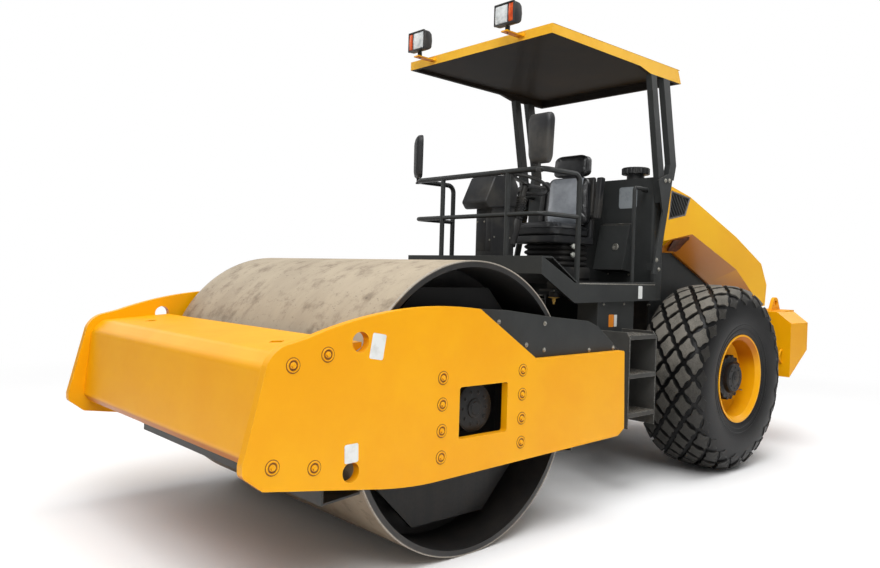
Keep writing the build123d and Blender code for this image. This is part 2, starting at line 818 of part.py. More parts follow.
# Canopy frame: two leaning posts a side, held by a bent bracket plate on the tank's flank
with BuildPart() as canopy_frame:
    canopy_bottom = canopy_top - canopy_depth - canopy_sag
    bracket_outer = canopy_half + 15
    with BuildSketch(side_view(bracket_outer, axle_x)):
        with BuildLine():
            Polyline(
                (695, 2290), (621, 2045), (737, 1566), (673, 1564), (608, 1817), (549, 2061), (491, 2345),
                (570, 2345), close=True,
            )
        make_face()
    extrude(amount=15)
    with BuildSketch(side_view(canopy_half, axle_x)):
        Polygon((820, canopy_bottom), (750, canopy_bottom), (553, 2120), (634, 2120), align=None)
        Polygon(
            (650, canopy_bottom), (563, canopy_bottom), (425, 2430), (455, 2310), (545, 2310), (511, 2430),
            align=None,
        )
    extrude(amount=post_thickness)
    for spacer_x, spacer_z, spacer_length in ((tank_x + 20, 1620, 110), (tank_x - 60, 2280, 50)):
        with BuildSketch(side_view(canopy_half, spacer_x, spacer_z)):
            Rectangle(spacer_length, 50)
        extrude(amount=canopy_half - tank_half)
    mirror(about=Plane.XZ)
write(canopy_frame, "canopy_frame")

# Canopy roof: shallow pressed tray with a fascia that deepens towards the back
roof_front = pivot_x + platform_ahead + 3
with BuildPart() as canopy_roof:
    with BuildSketch(side_view(canopy_half)):
        Polygon(
            (roof_front, canopy_top), (roof_front, canopy_top - canopy_depth),
            (roof_front - 1030, canopy_top - canopy_depth - 10),
            (roof_front - 1170, canopy_top - canopy_depth - canopy_sag),
            (roof_front - canopy_length, canopy_top - canopy_depth - canopy_sag),
            (roof_front - canopy_length + 50, canopy_top), align=None,
        )
    extrude(amount=2 * canopy_half)
    with BuildSketch(top_view(canopy_top - 45, roof_front - canopy_length / 2)):
        Rectangle(canopy_length - 60, 2 * canopy_half - 60)
    extrude(amount=-100, mode=Mode.SUBTRACT)
write(canopy_roof, "canopy_roof")

# Work lamps: two lamps on arms ahead of the roof's front edge
with BuildPart() as work_lamps:
    lamp_x = roof_front + 160
    for lamp_y in (450, -450):
        with BuildSketch(top_view(canopy_top - 40, (roof_front + lamp_x) / 2, lamp_y)):
            Rectangle(lamp_x - roof_front, 40)
        extrude(amount=10)
        with BuildSketch(top_view(canopy_top - 30, lamp_x - 20, lamp_y)):
            Rectangle(20, 30)
        extrude(amount=30)
        with BuildSketch(top_view(canopy_top, lamp_x - 20, lamp_y)):
            Rectangle(90, 180)
        extrude(amount=150)
write(work_lamps, "work_lamps")

# Grab handles: bent tubes at the back of each entry
with BuildPart() as grab_handles:
    handle_y = platform_half - 42
    handle_x = tank_x + 260
    with BuildLine() as handle_path:
        rod_path(
            (
                (handle_x, handle_y, floor_height + 1), (handle_x, handle_y, 2220),
                (tank_x + 80, handle_y, 2220), (tank_x + 80, handle_y - 60, 2220), (tank_x, handle_y - 60, 2220),
            ),
            25,
        )
    with BuildSketch(Plane(origin=handle_path.line @ 0, z_dir=handle_path.line % 0)):
        Circle(15)
    sweep(path=handle_path.line)
    mirror(about=Plane.XZ)
write(grab_handles, "grab_handles")

# Mirrors: the left shell stands on the rail, and the right one, turned inwards, on an arm from the rail's side
with BuildPart() as mirrors:
    left_mirror_y = rail_half - 30
    right_mirror_x = rail_x - 70
    right_mirror_y = -rail_half - mirror_reach
    mirror_foot = rail_top + rail_radius + mirror_lift
    with BuildSketch(top_view(rail_top + rail_radius, rail_x, left_mirror_y)):
        Circle(10)
    extrude(amount=mirror_lift + 40)
    with BuildSketch(top_view(mirror_foot, rail_x, left_mirror_y)):
        Rectangle(mirror_depth, mirror_width)
    extrude(amount=mirror_height)
    with BuildSketch(side_view(-rail_half - rail_radius, right_mirror_x, rail_top)):
        Circle(10)
    extrude(amount=mirror_reach - rail_radius + 10)
    with BuildSketch(top_view(rail_top - 10, right_mirror_x, right_mirror_y)):
        Circle(10)
    extrude(amount=mirror_foot - rail_top + 50)
    with BuildSketch(top_view(mirror_foot, right_mirror_x, right_mirror_y)):
        with Locations(Location((0, 0), mirror_turn)):
            Rectangle(mirror_depth, mirror_width)
    extrude(amount=mirror_height)
write(mirrors, "mirrors")

# Console: instrument box with a sloping front on a narrower pedestal, and the housing of the steering column
console_x = pivot_x + 315
wheel_centre = (console_x - 400, 0, 2232)
wheel_tilt = Vector(-0.35, 0, 1)
hub_plane = Plane(origin=wheel_centre, z_dir=wheel_tilt)
column_top = -110
with BuildPart() as console:
    foot_front = console_x + 5
    foot_rise = (ledge_height - floor_height) / (ramp_top - ramp_foot) * (foot_front - pivot_x - ramp_foot)
    with BuildSketch(side_view(pedestal_left)):
        Polygon(
            (foot_front, floor_height + foot_rise), (foot_front, 2080), (foot_front - 250, 2080),
            (foot_front - 250, floor_height), (pivot_x + ramp_foot, floor_height), align=None,
        )
    extrude(amount=pedestal_left + pedestal_right)
    with BuildSketch(side_view(console_left)):
        Polygon(
            (console_x + 100, 2060), (console_x, 2255), (console_x - 200, 2285), (console_x - 260, 2200),
            (console_x - 240, 2040), (console_x + 60, 2010), align=None,
        )
    extrude(amount=console_left + console_right)
    with BuildSketch(hub_plane.offset(column_top)):
        Circle(50)
    extrude(amount=-400)
write(console, "console")

# Steering wheel on a leaning column
with BuildPart() as steering_wheel:
    with BuildSketch(Plane(origin=wheel_centre, x_dir=wheel_tilt, z_dir=(0, 1, 0))):
        with Locations((0, 180)):
            Circle(14)
    revolve(axis=Axis(wheel_centre, wheel_tilt))
    with BuildSketch(hub_plane.offset(-10)):
        Circle(45)
        with PolarLocations(95, 3):
            Rectangle(180, 30)
    extrude(amount=16)
    with BuildSketch(hub_plane.offset(column_top)):
        Circle(25)
    extrude(amount=-column_top)
write(steering_wheel, "steering_wheel")

# Seat frame: base, suspension bellows, pan, back shell and folded-up arms
seat_x = tank_x + 260
back_lean = 0.074
with BuildPart() as seat_frame:
    with BuildSketch(top_view(floor_height, seat_x + 130)):
        Rectangle(400, 420)
    extrude(amount=120)
    for fold in range(6):
        with BuildSketch(top_view(floor_height + 120 + 30 * fold, seat_x + 130)):
            Rectangle(330 + 30 * (fold % 2), 370 + 30 * (fold % 2))
        extrude(amount=30)
    with BuildSketch(top_view(floor_height + 300, seat_x + 180)):
        Rectangle(500, 480)
    extrude(amount=60)
    shell_front = [(seat_x - 30 - back_lean * (height - 1800), height) for height in (1800, 1960, 2330, 2340)]
    with BuildSketch(side_view(220)):
        Polygon((seat_x - 90, 1800), shell_front[0], shell_front[3], (seat_x - 110, 2340), align=None)
    extrude(amount=440)
    for side in (1, -1):
        with BuildSketch(side_view(side * 285 + 25)):
            Polygon(
                (seat_x - 60, 1990), (seat_x, 1990), (seat_x - 40, 2330), (seat_x - 100, 2330), align=None,
            )
        extrude(amount=50)
        with BuildSketch(side_view(side * 240 + 22)):
            with Locations((seat_x - 50, 2020)):
                Circle(25)
        extrude(amount=44)
write(seat_frame, "seat_frame")

# Seat pads: cushion, back pad and head pad
with BuildPart() as seat_pads:
    with BuildSketch(top_view(floor_height + 360 + seat_gap, seat_x + 210)):
        RectangleRounded(470, 480, 60)
    extrude(amount=110)
    with BuildSketch(side_view(210)):
        Polygon(
            (shell_front[1][0] + seat_gap, 1960), (seat_x + 70, 1960), (seat_x + 25, 2330),
            (shell_front[2][0] + seat_gap, 2330), align=None,
        )
    extrude(amount=420)
    with BuildSketch(side_view(175)):
        Polygon(
            (seat_x - 120, 2340 + seat_gap), (seat_x - 5, 2340 + seat_gap), (seat_x - 15, 2530),
            (seat_x - 120, 2530), align=None,
        )
    extrude(amount=350)
write(seat_pads, "seat_pads")


# Hood: one-piece moulding with flat flanks, a sloping back and an undercut sill
grille_outline = ((470, 2232), (173, 2196), (245, 2046), (500, 1996), (484, 2110))
flank_edge = ((-1235, 1299), (-1124, 1299), (-960, 1424), (-650, 1628), (130, 1902), (hood_front, 1842))
sill_edge = ((-1230, 1275), (-1124, 1275), (-900, 1300), (-390, 1500), (187, 1743), (hood_front, 1740))
hood_back = (hood_top[3], hood_top[4], (-1235, 1299))
back_faces = []
back_heights = []
for (upper_x, upper_z), (lower_x, lower_z) in zip(hood_back, hood_back[1:]):
    run = sqrt((upper_x - lower_x) ** 2 + (upper_z - lower_z) ** 2)
    back_faces.append(
        Plane(
            origin=(axle_x + (upper_x + lower_x) / 2, 0, (upper_z + lower_z) / 2), x_dir=(0, 1, 0),
            z_dir=((lower_z - upper_z) / run, 0, (upper_x - lower_x) / run),
        )
    )
    back_heights.append(run - 50)
with BuildPart() as hood:
    with BuildSketch(side_view(hood_sill_half, axle_x)):
        Polygon(*hood_top, *sill_edge, align=None)
    extrude(amount=2 * hood_sill_half)
    for side in (1, -1):
        with BuildSketch(side_view(side * hood_sill_half, axle_x)):
            Polygon(*hood_top, *sill_edge, align=None)
        with BuildSketch(side_view(side * hood_half, axle_x)):
            Polygon(*hood_top, *flank_edge, align=None)
        loft(ruled=True)
    hollow_top = [(x if x < hood_front else x + 1, z - hood_wall) for x, z in hood_top]
    hollow_top[-1] = (hood_top[-1][0] + hood_wall, hood_top[-1][1])
    for half, edge, drop in ((hood_sill_half - hood_wall, sill_edge, 40), (hood_half - hood_wall, flank_edge, -40)):
        with BuildSketch(side_view(half, axle_x)):
            Polygon(
                *hollow_top, (edge[0][0] + hood_wall, edge[0][1] - drop),
                *[(x if x < hood_front else x + 1, z - drop) for x, z in edge[1:]], align=None,
            )
        extrude(amount=2 * half, mode=Mode.SUBTRACT)
    for outer in (hood_half, hood_wall - hood_half):
        with BuildSketch(side_view(outer, axle_x)):
            Polygon((455, 2262), (484, 2262), (547, 2050), (558, 1825), (455, 1843), align=None)
        extrude(amount=hood_wall)
    notch_width = hinge_knuckle + 2 * (hinge_ear + 2 * hinge_side_gap)
    with BuildSketch(top_view(hinge_height - 60, hinge_x)):
        with GridLocations(1, 2 * hinge_y, 1, 2):
            Rectangle(2 * (hinge_ear_radius + hinge_side_gap), notch_width)
    extrude(amount=120, mode=Mode.SUBTRACT)
    for side in (1, -1):
        with BuildSketch(side_view(side * hinge_y + hinge_knuckle / 2, hinge_x, hinge_height)):
            Circle(hinge_ear_radius)
            with Locations((-20, -5)):
                Rectangle(40, 18)
        extrude(amount=hinge_knuckle)
        with BuildSketch(side_view(side * hinge_y + hinge_knuckle / 2, hinge_x, hinge_height)):
            Circle(hinge_pin_radius + running_gap)
        extrude(amount=hinge_knuckle, mode=Mode.SUBTRACT)
    for side in (1, -1):
        with BuildSketch(side_view(side * hood_half, axle_x)):
            Polygon(*grille_outline, align=None)
        extrude(amount=side * grille_depth, mode=Mode.SUBTRACT)
    for back_face, face_height in zip(back_faces, back_heights):
        with BuildSketch(back_face):
            Rectangle(2 * back_grille_half, face_height)
        extrude(amount=-grille_depth, mode=Mode.SUBTRACT)
write(hood, "hood")

# Hood grilles: framed louvres let into the flanks, and two slatted panels in the back for the radiator
with BuildPart() as hood_grilles:
    for side in (1, -1):
        pocket_floor = side_view(side * (hood_half - grille_depth), axle_x)
        with BuildSketch(pocket_floor):
            Polygon(*grille_outline, align=None)
            offset(amount=-grille_border, mode=Mode.SUBTRACT)
        extrude(amount=-side * grille_frame)
        with BuildSketch(pocket_floor):
            with Locations(Location((325, 2115, 0), (0, 0, louvre_lean))):
                with GridLocations(1, louvre_pitch, 1, 9):
                    Rectangle(500, louvre_width)
            Polygon(*grille_outline, align=None, mode=Mode.INTERSECT)
        extrude(amount=-side * louvre_depth)
    for back_face, face_height in zip(back_faces, back_heights):
        with BuildSketch(back_face.offset(-grille_depth)):
            Rectangle(2 * back_grille_half, face_height)
            Rectangle(2 * (back_grille_half - grille_border), face_height - 2 * grille_border, mode=Mode.SUBTRACT)
        extrude(amount=grille_frame)
        with BuildSketch(back_face.offset(-grille_depth)):
            with GridLocations(1, louvre_pitch, 1, int((face_height - 2 * grille_border) / louvre_pitch)):
                Rectangle(2 * back_grille_half - 4, louvre_width)
            with GridLocations(back_grille_half / 2, 1, 3, 1):
                Rectangle(grille_border, face_height - 4)
        extrude(amount=louvre_depth)
write(hood_grilles, "hood_grilles")

# Engine: one plain block on the chassis cross members
with BuildPart() as engine_block:
    with BuildSketch(top_view(chassis_top - 60, axle_x - 350)):
        Rectangle(930, 660)
    extrude(amount=640)
write(engine_block, "engine_block")

# Counterweight: cast block across the tail, with bevelled shoulders, a rising underside and lifting lugs
with BuildPart() as counterweight:
    with BuildSketch(side_view(weight_half)):
        Polygon(
            (weight_x, weight_bottom), (weight_x, weight_top), (tail_x + lamp_proud, weight_top + 15),
            (tail_x + lamp_proud, 885), align=None,
        )
    extrude(amount=2 * weight_half)
    for side in (1, -1):
        with BuildSketch(front_view(tail_x - 10)):
            Polygon(
                (side * (weight_half - 135), weight_top + 30), (side * (weight_half - 135), weight_top),
                (side * weight_half, weight_top - 100), (side * (weight_half + 20), weight_top - 100),
                (side * (weight_half + 20), weight_top + 30), align=None,
            )
        extrude(amount=weight_x - tail_x + 20, mode=Mode.SUBTRACT)
        with BuildSketch(side_view(side * 700 + 15, weight_x - 190, weight_top)):
            with Locations((0, 75)):
                Circle(58)
            Polygon((-110, -10), (110, -10), (56, 90), (-56, 90), align=None)
            with Locations((0, 75)):
                Circle(27, mode=Mode.SUBTRACT)
        extrude(amount=30)
write(counterweight, "counterweight")

# Rear lamps: flat lamp blocks on the back of the counterweight
with BuildPart() as rear_lamps:
    with BuildSketch(front_view(tail_x)):
        with Locations((720, 1090), (-720, 1090)):
            Rectangle(190, 95)
    extrude(amount=lamp_proud)
write(rear_lamps, "rear_lamps")
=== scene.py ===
import math

import bmesh
import bpy
from mathutils import Matrix, Vector


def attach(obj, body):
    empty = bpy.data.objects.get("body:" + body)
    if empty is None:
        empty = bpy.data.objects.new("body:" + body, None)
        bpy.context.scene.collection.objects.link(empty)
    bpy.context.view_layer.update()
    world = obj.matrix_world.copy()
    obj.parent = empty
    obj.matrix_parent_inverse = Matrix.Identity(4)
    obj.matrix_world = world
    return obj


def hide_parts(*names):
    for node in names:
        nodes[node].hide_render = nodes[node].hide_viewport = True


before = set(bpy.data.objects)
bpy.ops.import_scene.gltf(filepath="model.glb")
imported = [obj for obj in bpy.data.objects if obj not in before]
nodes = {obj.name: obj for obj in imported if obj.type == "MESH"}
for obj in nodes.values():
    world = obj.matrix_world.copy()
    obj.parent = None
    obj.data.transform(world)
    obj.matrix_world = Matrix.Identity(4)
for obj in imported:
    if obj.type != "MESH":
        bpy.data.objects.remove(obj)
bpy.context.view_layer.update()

# Front frame: two thick side plates joined by a folded box beam at the nose. The real ones are welded
# steel, sprayed orange-yellow over filler, so the paint has a faint orange peel, dust on its level faces
# and a brighter, rubbed line along every edge.


class Field:
    """A value that varies over a surface. Arithmetic on it adds the nodes that work it out."""

    def __init__(self, surface, socket):
        self.surface = surface
        self.socket = socket

    def out(self, name):
        return Field(self.surface, self.socket.node.outputs[name])

    def math(self, operation, *others, swap=False, clamp=False):
        node = self.surface.nodes.new("ShaderNodeMath")
        node.operation = operation
        node.use_clamp = clamp
        values = [self, *others]
        if swap:
            values.reverse()
        for socket, value in zip(node.inputs, values):
            self.surface.plug(socket, value)
        return Field(self.surface, node.outputs[0])

    def __add__(self, other):
        return self.math("ADD", other)

    __radd__ = __add__

    def __sub__(self, other):
        return self.math("SUBTRACT", other)

    def __rsub__(self, other):
        return self.math("SUBTRACT", other, swap=True)

    def __mul__(self, other):
        return self.math("MULTIPLY", other)

    __rmul__ = __mul__

    def __truediv__(self, other):
        return self.math("DIVIDE", other)

    def __rtruediv__(self, other):
        return self.math("DIVIDE", other, swap=True)

    def __pow__(self, other):
        return self.math("POWER", other)

    def ramp(self, low, high):
        """0 below low, 1 above high and smooth between; low may be the larger."""
        return self.surface.add(
            "MapRange", {"interpolation_type": "SMOOTHSTEP"}, Value=self, From_Min=low, From_Max=high
        )


class Surface:
    """One procedural material, built round a Principled shader."""

    def __init__(self, name, **shader):
        self.material = bpy.data.materials.new(name)
        self.material.use_nodes = True
        self.nodes = self.material.node_tree.nodes
        self.links = self.material.node_tree.links
        self.shader = self.nodes["Principled BSDF"]
        self.finish(**shader)

    def plug(self, socket, value):
        if isinstance(value, Field):
            self.links.new(value.socket, socket)
        else:
            socket.default_value = value

    def add(self, kind, settings=None, **inputs):
        """A node of any other kind: its type, its settings, then its sockets."""
        node = self.nodes.new("ShaderNode" + kind)
        for key, value in (settings or {}).items():
            setattr(node, key, value)
        for key, value in inputs.items():
            self.plug(node.inputs[key.replace("_", " ")], value)
        return Field(self, node.outputs[0])

    def finish(self, **inputs):
        for key, value in inputs.items():
            self.plug(self.shader.inputs[key.replace("_", " ")], value)

    def place(self):
        return self.add("TexCoord").out("Object")

    def noise(self, scale, detail=3.0, roughness=0.55, stretch=None):
        where = self.place()
        if stretch:
            where = self.add("VectorMath", {"operation": "MULTIPLY"}, Vector=where)
            where.socket.node.inputs[1].default_value = stretch
        return self.add("TexNoise", Vector=where, Scale=scale, Detail=detail, Roughness=roughness)

    def mix(self, factor, first, second, blend="MIX"):
        node = self.nodes.new("ShaderNodeMix")
        node.data_type = "RGBA"
        node.blend_type = blend
        for socket, value in ((0, factor), (6, first), (7, second)):
            self.plug(node.inputs[socket], value)
        return Field(self, node.outputs[2])

    def edge(self, radius=0.006):
        """How far the surface turns within a small radius: 0 on flats, 1 on sharp edges."""
        rounded = self.add("Bevel", {"samples": 4}, Radius=radius)
        flat = self.add("NewGeometry").out("Normal")
        turn = self.add("VectorMath", {"operation": "DOT_PRODUCT"}, Vector=rounded)
        turn.socket.node.inputs[0].default_value = (0, 0, 0)
        self.plug(turn.socket.node.inputs[0], rounded)
        self.plug(turn.socket.node.inputs[1], flat)
        return turn.out("Value").ramp(0.995, 0.86)

    def bump(self, height, distance, strength=1.0, round_edges=0.003):
        inputs = {"Height": height, "Distance": distance, "Strength": strength}
        if round_edges:
            inputs["Normal"] = self.add("Bevel", {"samples": 4}, Radius=round_edges)
        self.finish(Normal=self.add("Bump", **inputs))


def colour(red, green, blue, gain=1.0):
    """A screen colour from 0 to 255 as the shader's linear one."""
    return (*[gain * ((c / 255 + 0.055) / 1.055) ** 2.4 if c > 10 else gain * c / 3294
        for c in (red, green, blue)], 1)


dust_colour = colour(150, 138, 118)


def painted(name, base, shade, worn, under_shade, rough=0.34, dust=0.25, coat=0.25):
    """Sprayed steel: mottled paint, rubbed edges, dust that settles on level faces and painted shade on
    faces that turn downwards.
    """
    surface = Surface(name, Coat_Roughness=0.18, Coat_IOR=1.5, IOR=1.48, Specular_IOR_Level=0.22)
    cloud = surface.noise(2.1, 5, 0.6)
    speck = surface.noise(55, 4, 0.7)
    peel = surface.noise(260, 2, 0.5)
    streak = surface.noise(9, 4, 0.6, stretch=(1.0, 1.0, 0.12))
    paint = surface.mix(cloud.ramp(0.32, 0.68) * 0.8 + speck * 0.1, base, shade)
    position = surface.add("SeparateXYZ", Vector=surface.place())
    up = surface.add("SeparateXYZ", Vector=surface.add("NewGeometry").out("Normal")).out("Z")
    level = up.ramp(0.55, 0.98)
    low = position.out("Z").ramp(0.9, 0.15)
    settled = (level * 0.75 + low * 0.3 + 0.05) * (streak * 0.7 + speck * 0.5).ramp(0.38, 0.82) * dust
    rub = surface.edge() * speck.ramp(0.35, 0.62)
    paint = surface.mix(rub * 0.6, paint, worn)
    paint = surface.mix(settled, paint, dust_colour)
    # Painted shade: faces that turn downwards are mixed towards the darker under colour.
    paint = surface.mix(up.ramp(-0.1, -0.6) * 0.85, paint, under_shade)
    surface.finish(
        Base_Color=paint,
        Roughness=cloud * 0.1 + settled * 0.6 + (rough - 0.05),
        Coat_Weight=(1.0 - settled * 1.4) * coat,
    )
    surface.bump(peel * 0.6 + speck * 0.5, 0.0006, 0.5)
    return surface


# The fourth colour is the painted shade for faces that turn downwards.
yellow = painted(
    "yellow_paint", colour(243, 172, 1), colour(238, 162, 0), colour(255, 200, 64), colour(168, 84, 2),
    rough=0.4,
    dust=0.08, coat=0.05,
)
for name in ("side_plate_left", "side_plate_right", "front_beam", "rim_left", "rim_right", "counterweight"):
    nodes[name].data.materials.clear()
    nodes[name].data.materials.append(yellow.material)


def coat(surface, *names):
    """Give CAD nodes one surface."""
    for node in names:
        nodes[node].data.materials.clear()
        nodes[node].data.materials.append(surface.material)


def hand_over(name, bm, surface, body, angle=35.0):
    """Turn mesh code into a piece that rides on a body."""
    bmesh.ops.recalc_face_normals(bm, faces=bm.faces)
    mesh = bpy.data.meshes.new(name)
    bm.to_mesh(mesh)
    bm.free()
    mesh.shade_smooth()
    mesh.set_sharp_from_angle(angle=math.radians(angle))
    piece = bpy.data.objects.new(name, mesh)
    bpy.context.scene.collection.objects.link(piece)
    mesh.materials.append(surface.material)
    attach(piece, body)
    return piece


def facing(point, direction):
    """A transform that puts local +Z along a direction at a point."""
    turn = Vector(direction).to_track_quat("Z", "Y").to_matrix().to_4x4()
    return Matrix.Translation(Vector(point)) @ turn


def join_rings(bm, rings, closed=True):
    """Join neighbouring rings of vertices with faces; closed also joins each ring's end to its start."""
    for one, two in zip(rings, rings[1:]):
        count = len(one)
        for k in range(count if closed else count - 1):
            bm.faces.new((one[k], one[(k + 1) % count], two[(k + 1) % count], two[k]))


def lathe(bm, profile, where, steps=32):
    """Spin (radius, height) points about the local +Z of a transform."""
    before = len(bm.verts)
    verts = [bm.verts.new(where @ Vector((radius, 0, height))) for radius, height in profile]
    edges = [bm.edges.new(pair) for pair in zip(verts, verts[1:])]
    axis = where.to_3x3() @ Vector((0, 0, 1))
    bmesh.ops.spin(
        bm, geom=verts + edges, cent=where.translation, axis=axis, angle=math.tau, steps=steps,
        use_merge=True
    )
    bm.verts.ensure_lookup_table()
    bmesh.ops.remove_doubles(bm, verts=bm.verts[before:], dist=1e-6)


def hex_bolt(bm, point, direction, size=0.012, washer=0.016):
    """Hexagon head with a chamfered crown on a plain washer."""
    where = facing(point, direction)
    lathe(bm, [(0, washer * 0.16), (washer * 0.94, washer * 0.16), (washer, washer * 0.1),
        (washer, -0.002)], where, 16)
    rings = []
    for radius, height in ((size, washer * 0.1), (size, size * 0.62), (size * 0.86, size * 0.8)):
        rings.append([
            bm.verts.new(where @ Vector((radius * math.cos(a), radius * math.sin(a), height)))
            for a in [math.tau * k / 6 for k in range(6)]
        ])
    join_rings(bm, rings)
    bm.faces.new(rings[-1])


# Beam deck sockets: square pockets turned on their corners, in the top of the nose beam by each plate. The
# floor of each is a loose rubber plug, dark with grit.
drum_x, drum_z = 1.612, 0.8
rubber = Surface("rubber", IOR=1.5)
rubber_grain = rubber.noise(180, 4, 0.7)
rubber_cloud = rubber.noise(6, 4, 0.6)
rubber.finish(
    Base_Color=rubber.mix(rubber_cloud.ramp(0.35, 0.75) * 0.5, colour(26, 26, 27), colour(58, 54, 48)),
    Roughness=rubber_grain * 0.2 + 0.55,
)
rubber.bump(rubber_grain, 0.001, 0.6, round_edges=0.002)
bm = bmesh.new()
for side in (1, -1):
    where = Matrix.Translation((drum_x + 1.040, side * 0.760, 1.1405))
    lathe(bm, [(0, 0.006), (0.022, 0.006), (0.026, 0.003), (0.028, 0)], where, 4)
hand_over("beam_plugs", bm, rubber, "front_frame")

# Stickers: small blank vinyl labels on the plates, the platform and the tool box, white or orange and
# white, with rounded corners and a thin lifted edge.
vinyl = {
    "white": Surface("sticker_white", IOR=1.46, Roughness=0.38),
    "orange": Surface("sticker_orange", IOR=1.46, Roughness=0.38),
    "grey": Surface("sticker_grey", IOR=1.46, Roughness=0.3),
}
vinyl_colours = {
    "white": (colour(226, 228, 226), colour(196, 196, 190)),
    "orange": (colour(238, 140, 20), colour(206, 118, 18)),
    "grey": (colour(150, 156, 160), colour(118, 124, 128)),
}
for key, surface in vinyl.items():
    grime = surface.noise(22, 4, 0.65)
    surface.finish(Base_Color=surface.mix(grime.ramp(0.45, 0.8) * 0.7, *vinyl_colours[key]))
    surface.bump(surface.noise(120, 3), 0.0004, 0.4, round_edges=0)


def sticker(name, key, centre, normal, across, size, body, tilt=0.0):
    """A rounded label that lies 0.6 mm off a flat face; across is the direction of its width."""
    normal = Vector(normal).normalized()
    across = Matrix.Rotation(tilt, 3, normal) @ Vector(across).normalized()
    up = normal.cross(across)
    half_width, half_height = size[0] / 2, size[1] / 2
    corner = min(size) * 0.12
    bm = bmesh.new()
    loops = []
    for lift, inset in ((0.0, 0.0), (0.0006, 0.0003)):
        loop = []
        for quarter in range(4):
            start = quarter * math.pi / 2
            middle = (
                (half_width - corner) * (1 if quarter in (0, 3) else -1),
                (half_height - corner) * (1 if quarter in (0, 1) else -1),
            )
            for step in range(5):
                angle = start + step * math.pi / 8
                a = middle[0] + (corner - inset) * math.cos(angle)
                b = middle[1] + (corner - inset) * math.sin(angle)
                loop.append(bm.verts.new(Vector(centre) + across * a + up * b + normal * lift))
        loops.append(loop)
    join_rings(bm, loops)
    bm.faces.new(loops[1])
    return hand_over(name, bm, vinyl[key], body)


for side_name, side in (("left", 1), ("right", -1)):
    plate_face = side * 1.1502
    sticker(
        f"lift_label_{side_name}", "white", (drum_x + 0.728, plate_face, drum_z + 0.372), (0, side, 0),
        (1, 0, 0),
        (0.082, 0.122), "front_frame", side * -0.17,
    )
    sticker(
        f"tie_label_{side_name}", "white", (drum_x + 0.865, plate_face, drum_z - 0.114), (0, side, 0),
        (1, 0, 0),
        (0.078, 0.088), "front_frame", side * 0.03,
    )

# Rear of the front frame: the cross beam, the covers over the drum's back and the plates that hold the
# drum. These are sprayed satin dark grey, scuffed lighter where boots and tools reach them.
# The fourth colour is the painted shade for faces that turn downwards.
dark = painted(
    "dark_paint", colour(55, 57, 57), colour(43, 45, 45), colour(96, 96, 94), colour(20, 20, 20), rough=0.4,
    dust=0.18, coat=0.12,
)
coat(
    dark, "rear_beam", "covers", "scrapers", "rear_chassis", "side_boxes", "front_rail", "grab_handles",
    "tank",
    "tool_box", "bay_panels", "canopy_frame", "steer_barrel_left", "steer_barrel_right", "platform",
)

# Side plate bolts: hexagon heads in round recessed pads, painted over with the plate. Each pad is a turned
# ring that stands 4 mm off the plate; a thin disc of mottled dark orange under it is painted shade for the
# recess and shows in the gaps round the head and round the ring.
recess_shade = Surface("recess_shade", Roughness=0.6, IOR=1.45)
recess_shade.finish(Base_Color=recess_shade.mix(recess_shade.noise(120, 4).ramp(0.35, 0.7), colour(150, 92, 8),
    colour(104, 60, 10)))
recess_shade.bump(recess_shade.noise(200, 3), 0.0004, 0.4, round_edges=0)
plate_bolts = [(1.186, 0.310), (1.008, 0.348), (1.275, -0.119), (1.065, -0.151)]
for height in (0.193, 0.058, -0.077, -0.212):
    plate_bolts += [(0.304, height), (-0.304, height)]
for side_name, side in (("left", 1), ("right", -1)):
    bm, seat_bm = bmesh.new(), bmesh.new()
    for ahead, above in plate_bolts:
        spot = Vector((drum_x + ahead, side * 1.150, drum_z + above))
        lathe(
            bm, [(0.0225, -0.001), (0.0235, 0.0035), (0.0255, 0.0045), (0.0295, 0.0045), (0.0315, 0.003),
                 (0.032, -0.001)],
            facing(spot, (0, side, 0)), 28,
        )
        # The disc under each pad: painted shade of the recess, in a mottled dark orange.
        lathe(seat_bm, [(0.0, 0.0010), (0.0355, 0.0010), (0.0365, -0.001)], facing(spot, (0, side, 0)), 28)
        hex_bolt(bm, spot + Vector((0, side * 0.0012, 0)), (0, side, 0), 0.0125, 0.0155)
    hand_over(f"plate_bolts_{side_name}", bm, yellow, "front_frame")
    hand_over(f"plate_bolt_seats_{side_name}", seat_bm, recess_shade, "front_frame")

# Drum drive parts, hubs and axle: the same paint, black with old grease and dirt. Its fourth colour is
# painted shade for faces that turn downwards, and on the drum discs inside the drum the near black is
# painted shade too.
grease_black_and_shade = painted(
    "grease_black_and_shade_paint", colour(26, 26, 27), colour(17, 17, 17), colour(70, 70, 68), colour(9, 9, 9), rough=0.42,
    dust=0.1,
    coat=0.1,
)
coat(grease_black_and_shade, "drum_discs", "drum_mounts", "knuckle", "rear_axle", "hub_left", "hub_right")

# Drum: a rolled shell, turned smooth. Work leaves it beige with dried soil, scuffed in bands round it, with
# bright worn rims. Its outside turns darker and browner towards the bottom, and its inside is painted shade,
# nearly black.
steel = Surface("drum_steel", IOR=1.6)
steel_place = steel.add("SeparateXYZ", Vector=steel.place())
ahead = steel_place.out("X") - drum_x
above = steel_place.out("Z") - drum_z
radius = (ahead * ahead + above * above) ** 0.5
outside = radius.ramp(0.790, 0.797)
rim = steel_place.out("Y").math("ABSOLUTE").ramp(1.040, 1.064)
band = steel.noise(2.2, 5, 0.65, stretch=(0.7, 1.6, 0.7))
soil = steel.noise(7, 7, 0.7)
grit = steel.noise(140, 4, 0.75)
scuff = steel.noise(13, 8, 0.8, stretch=(1.0, 0.6, 1.4))
skin = steel.mix(band.ramp(0.3, 0.7) * 0.6, colour(166, 152, 131), colour(190, 176, 153))
skin = steel.mix(soil.ramp(0.48, 0.70) * 0.65, skin, colour(108, 92, 74))
skin = steel.mix(scuff.ramp(0.58, 0.70) * 0.6, skin, colour(84, 73, 62))
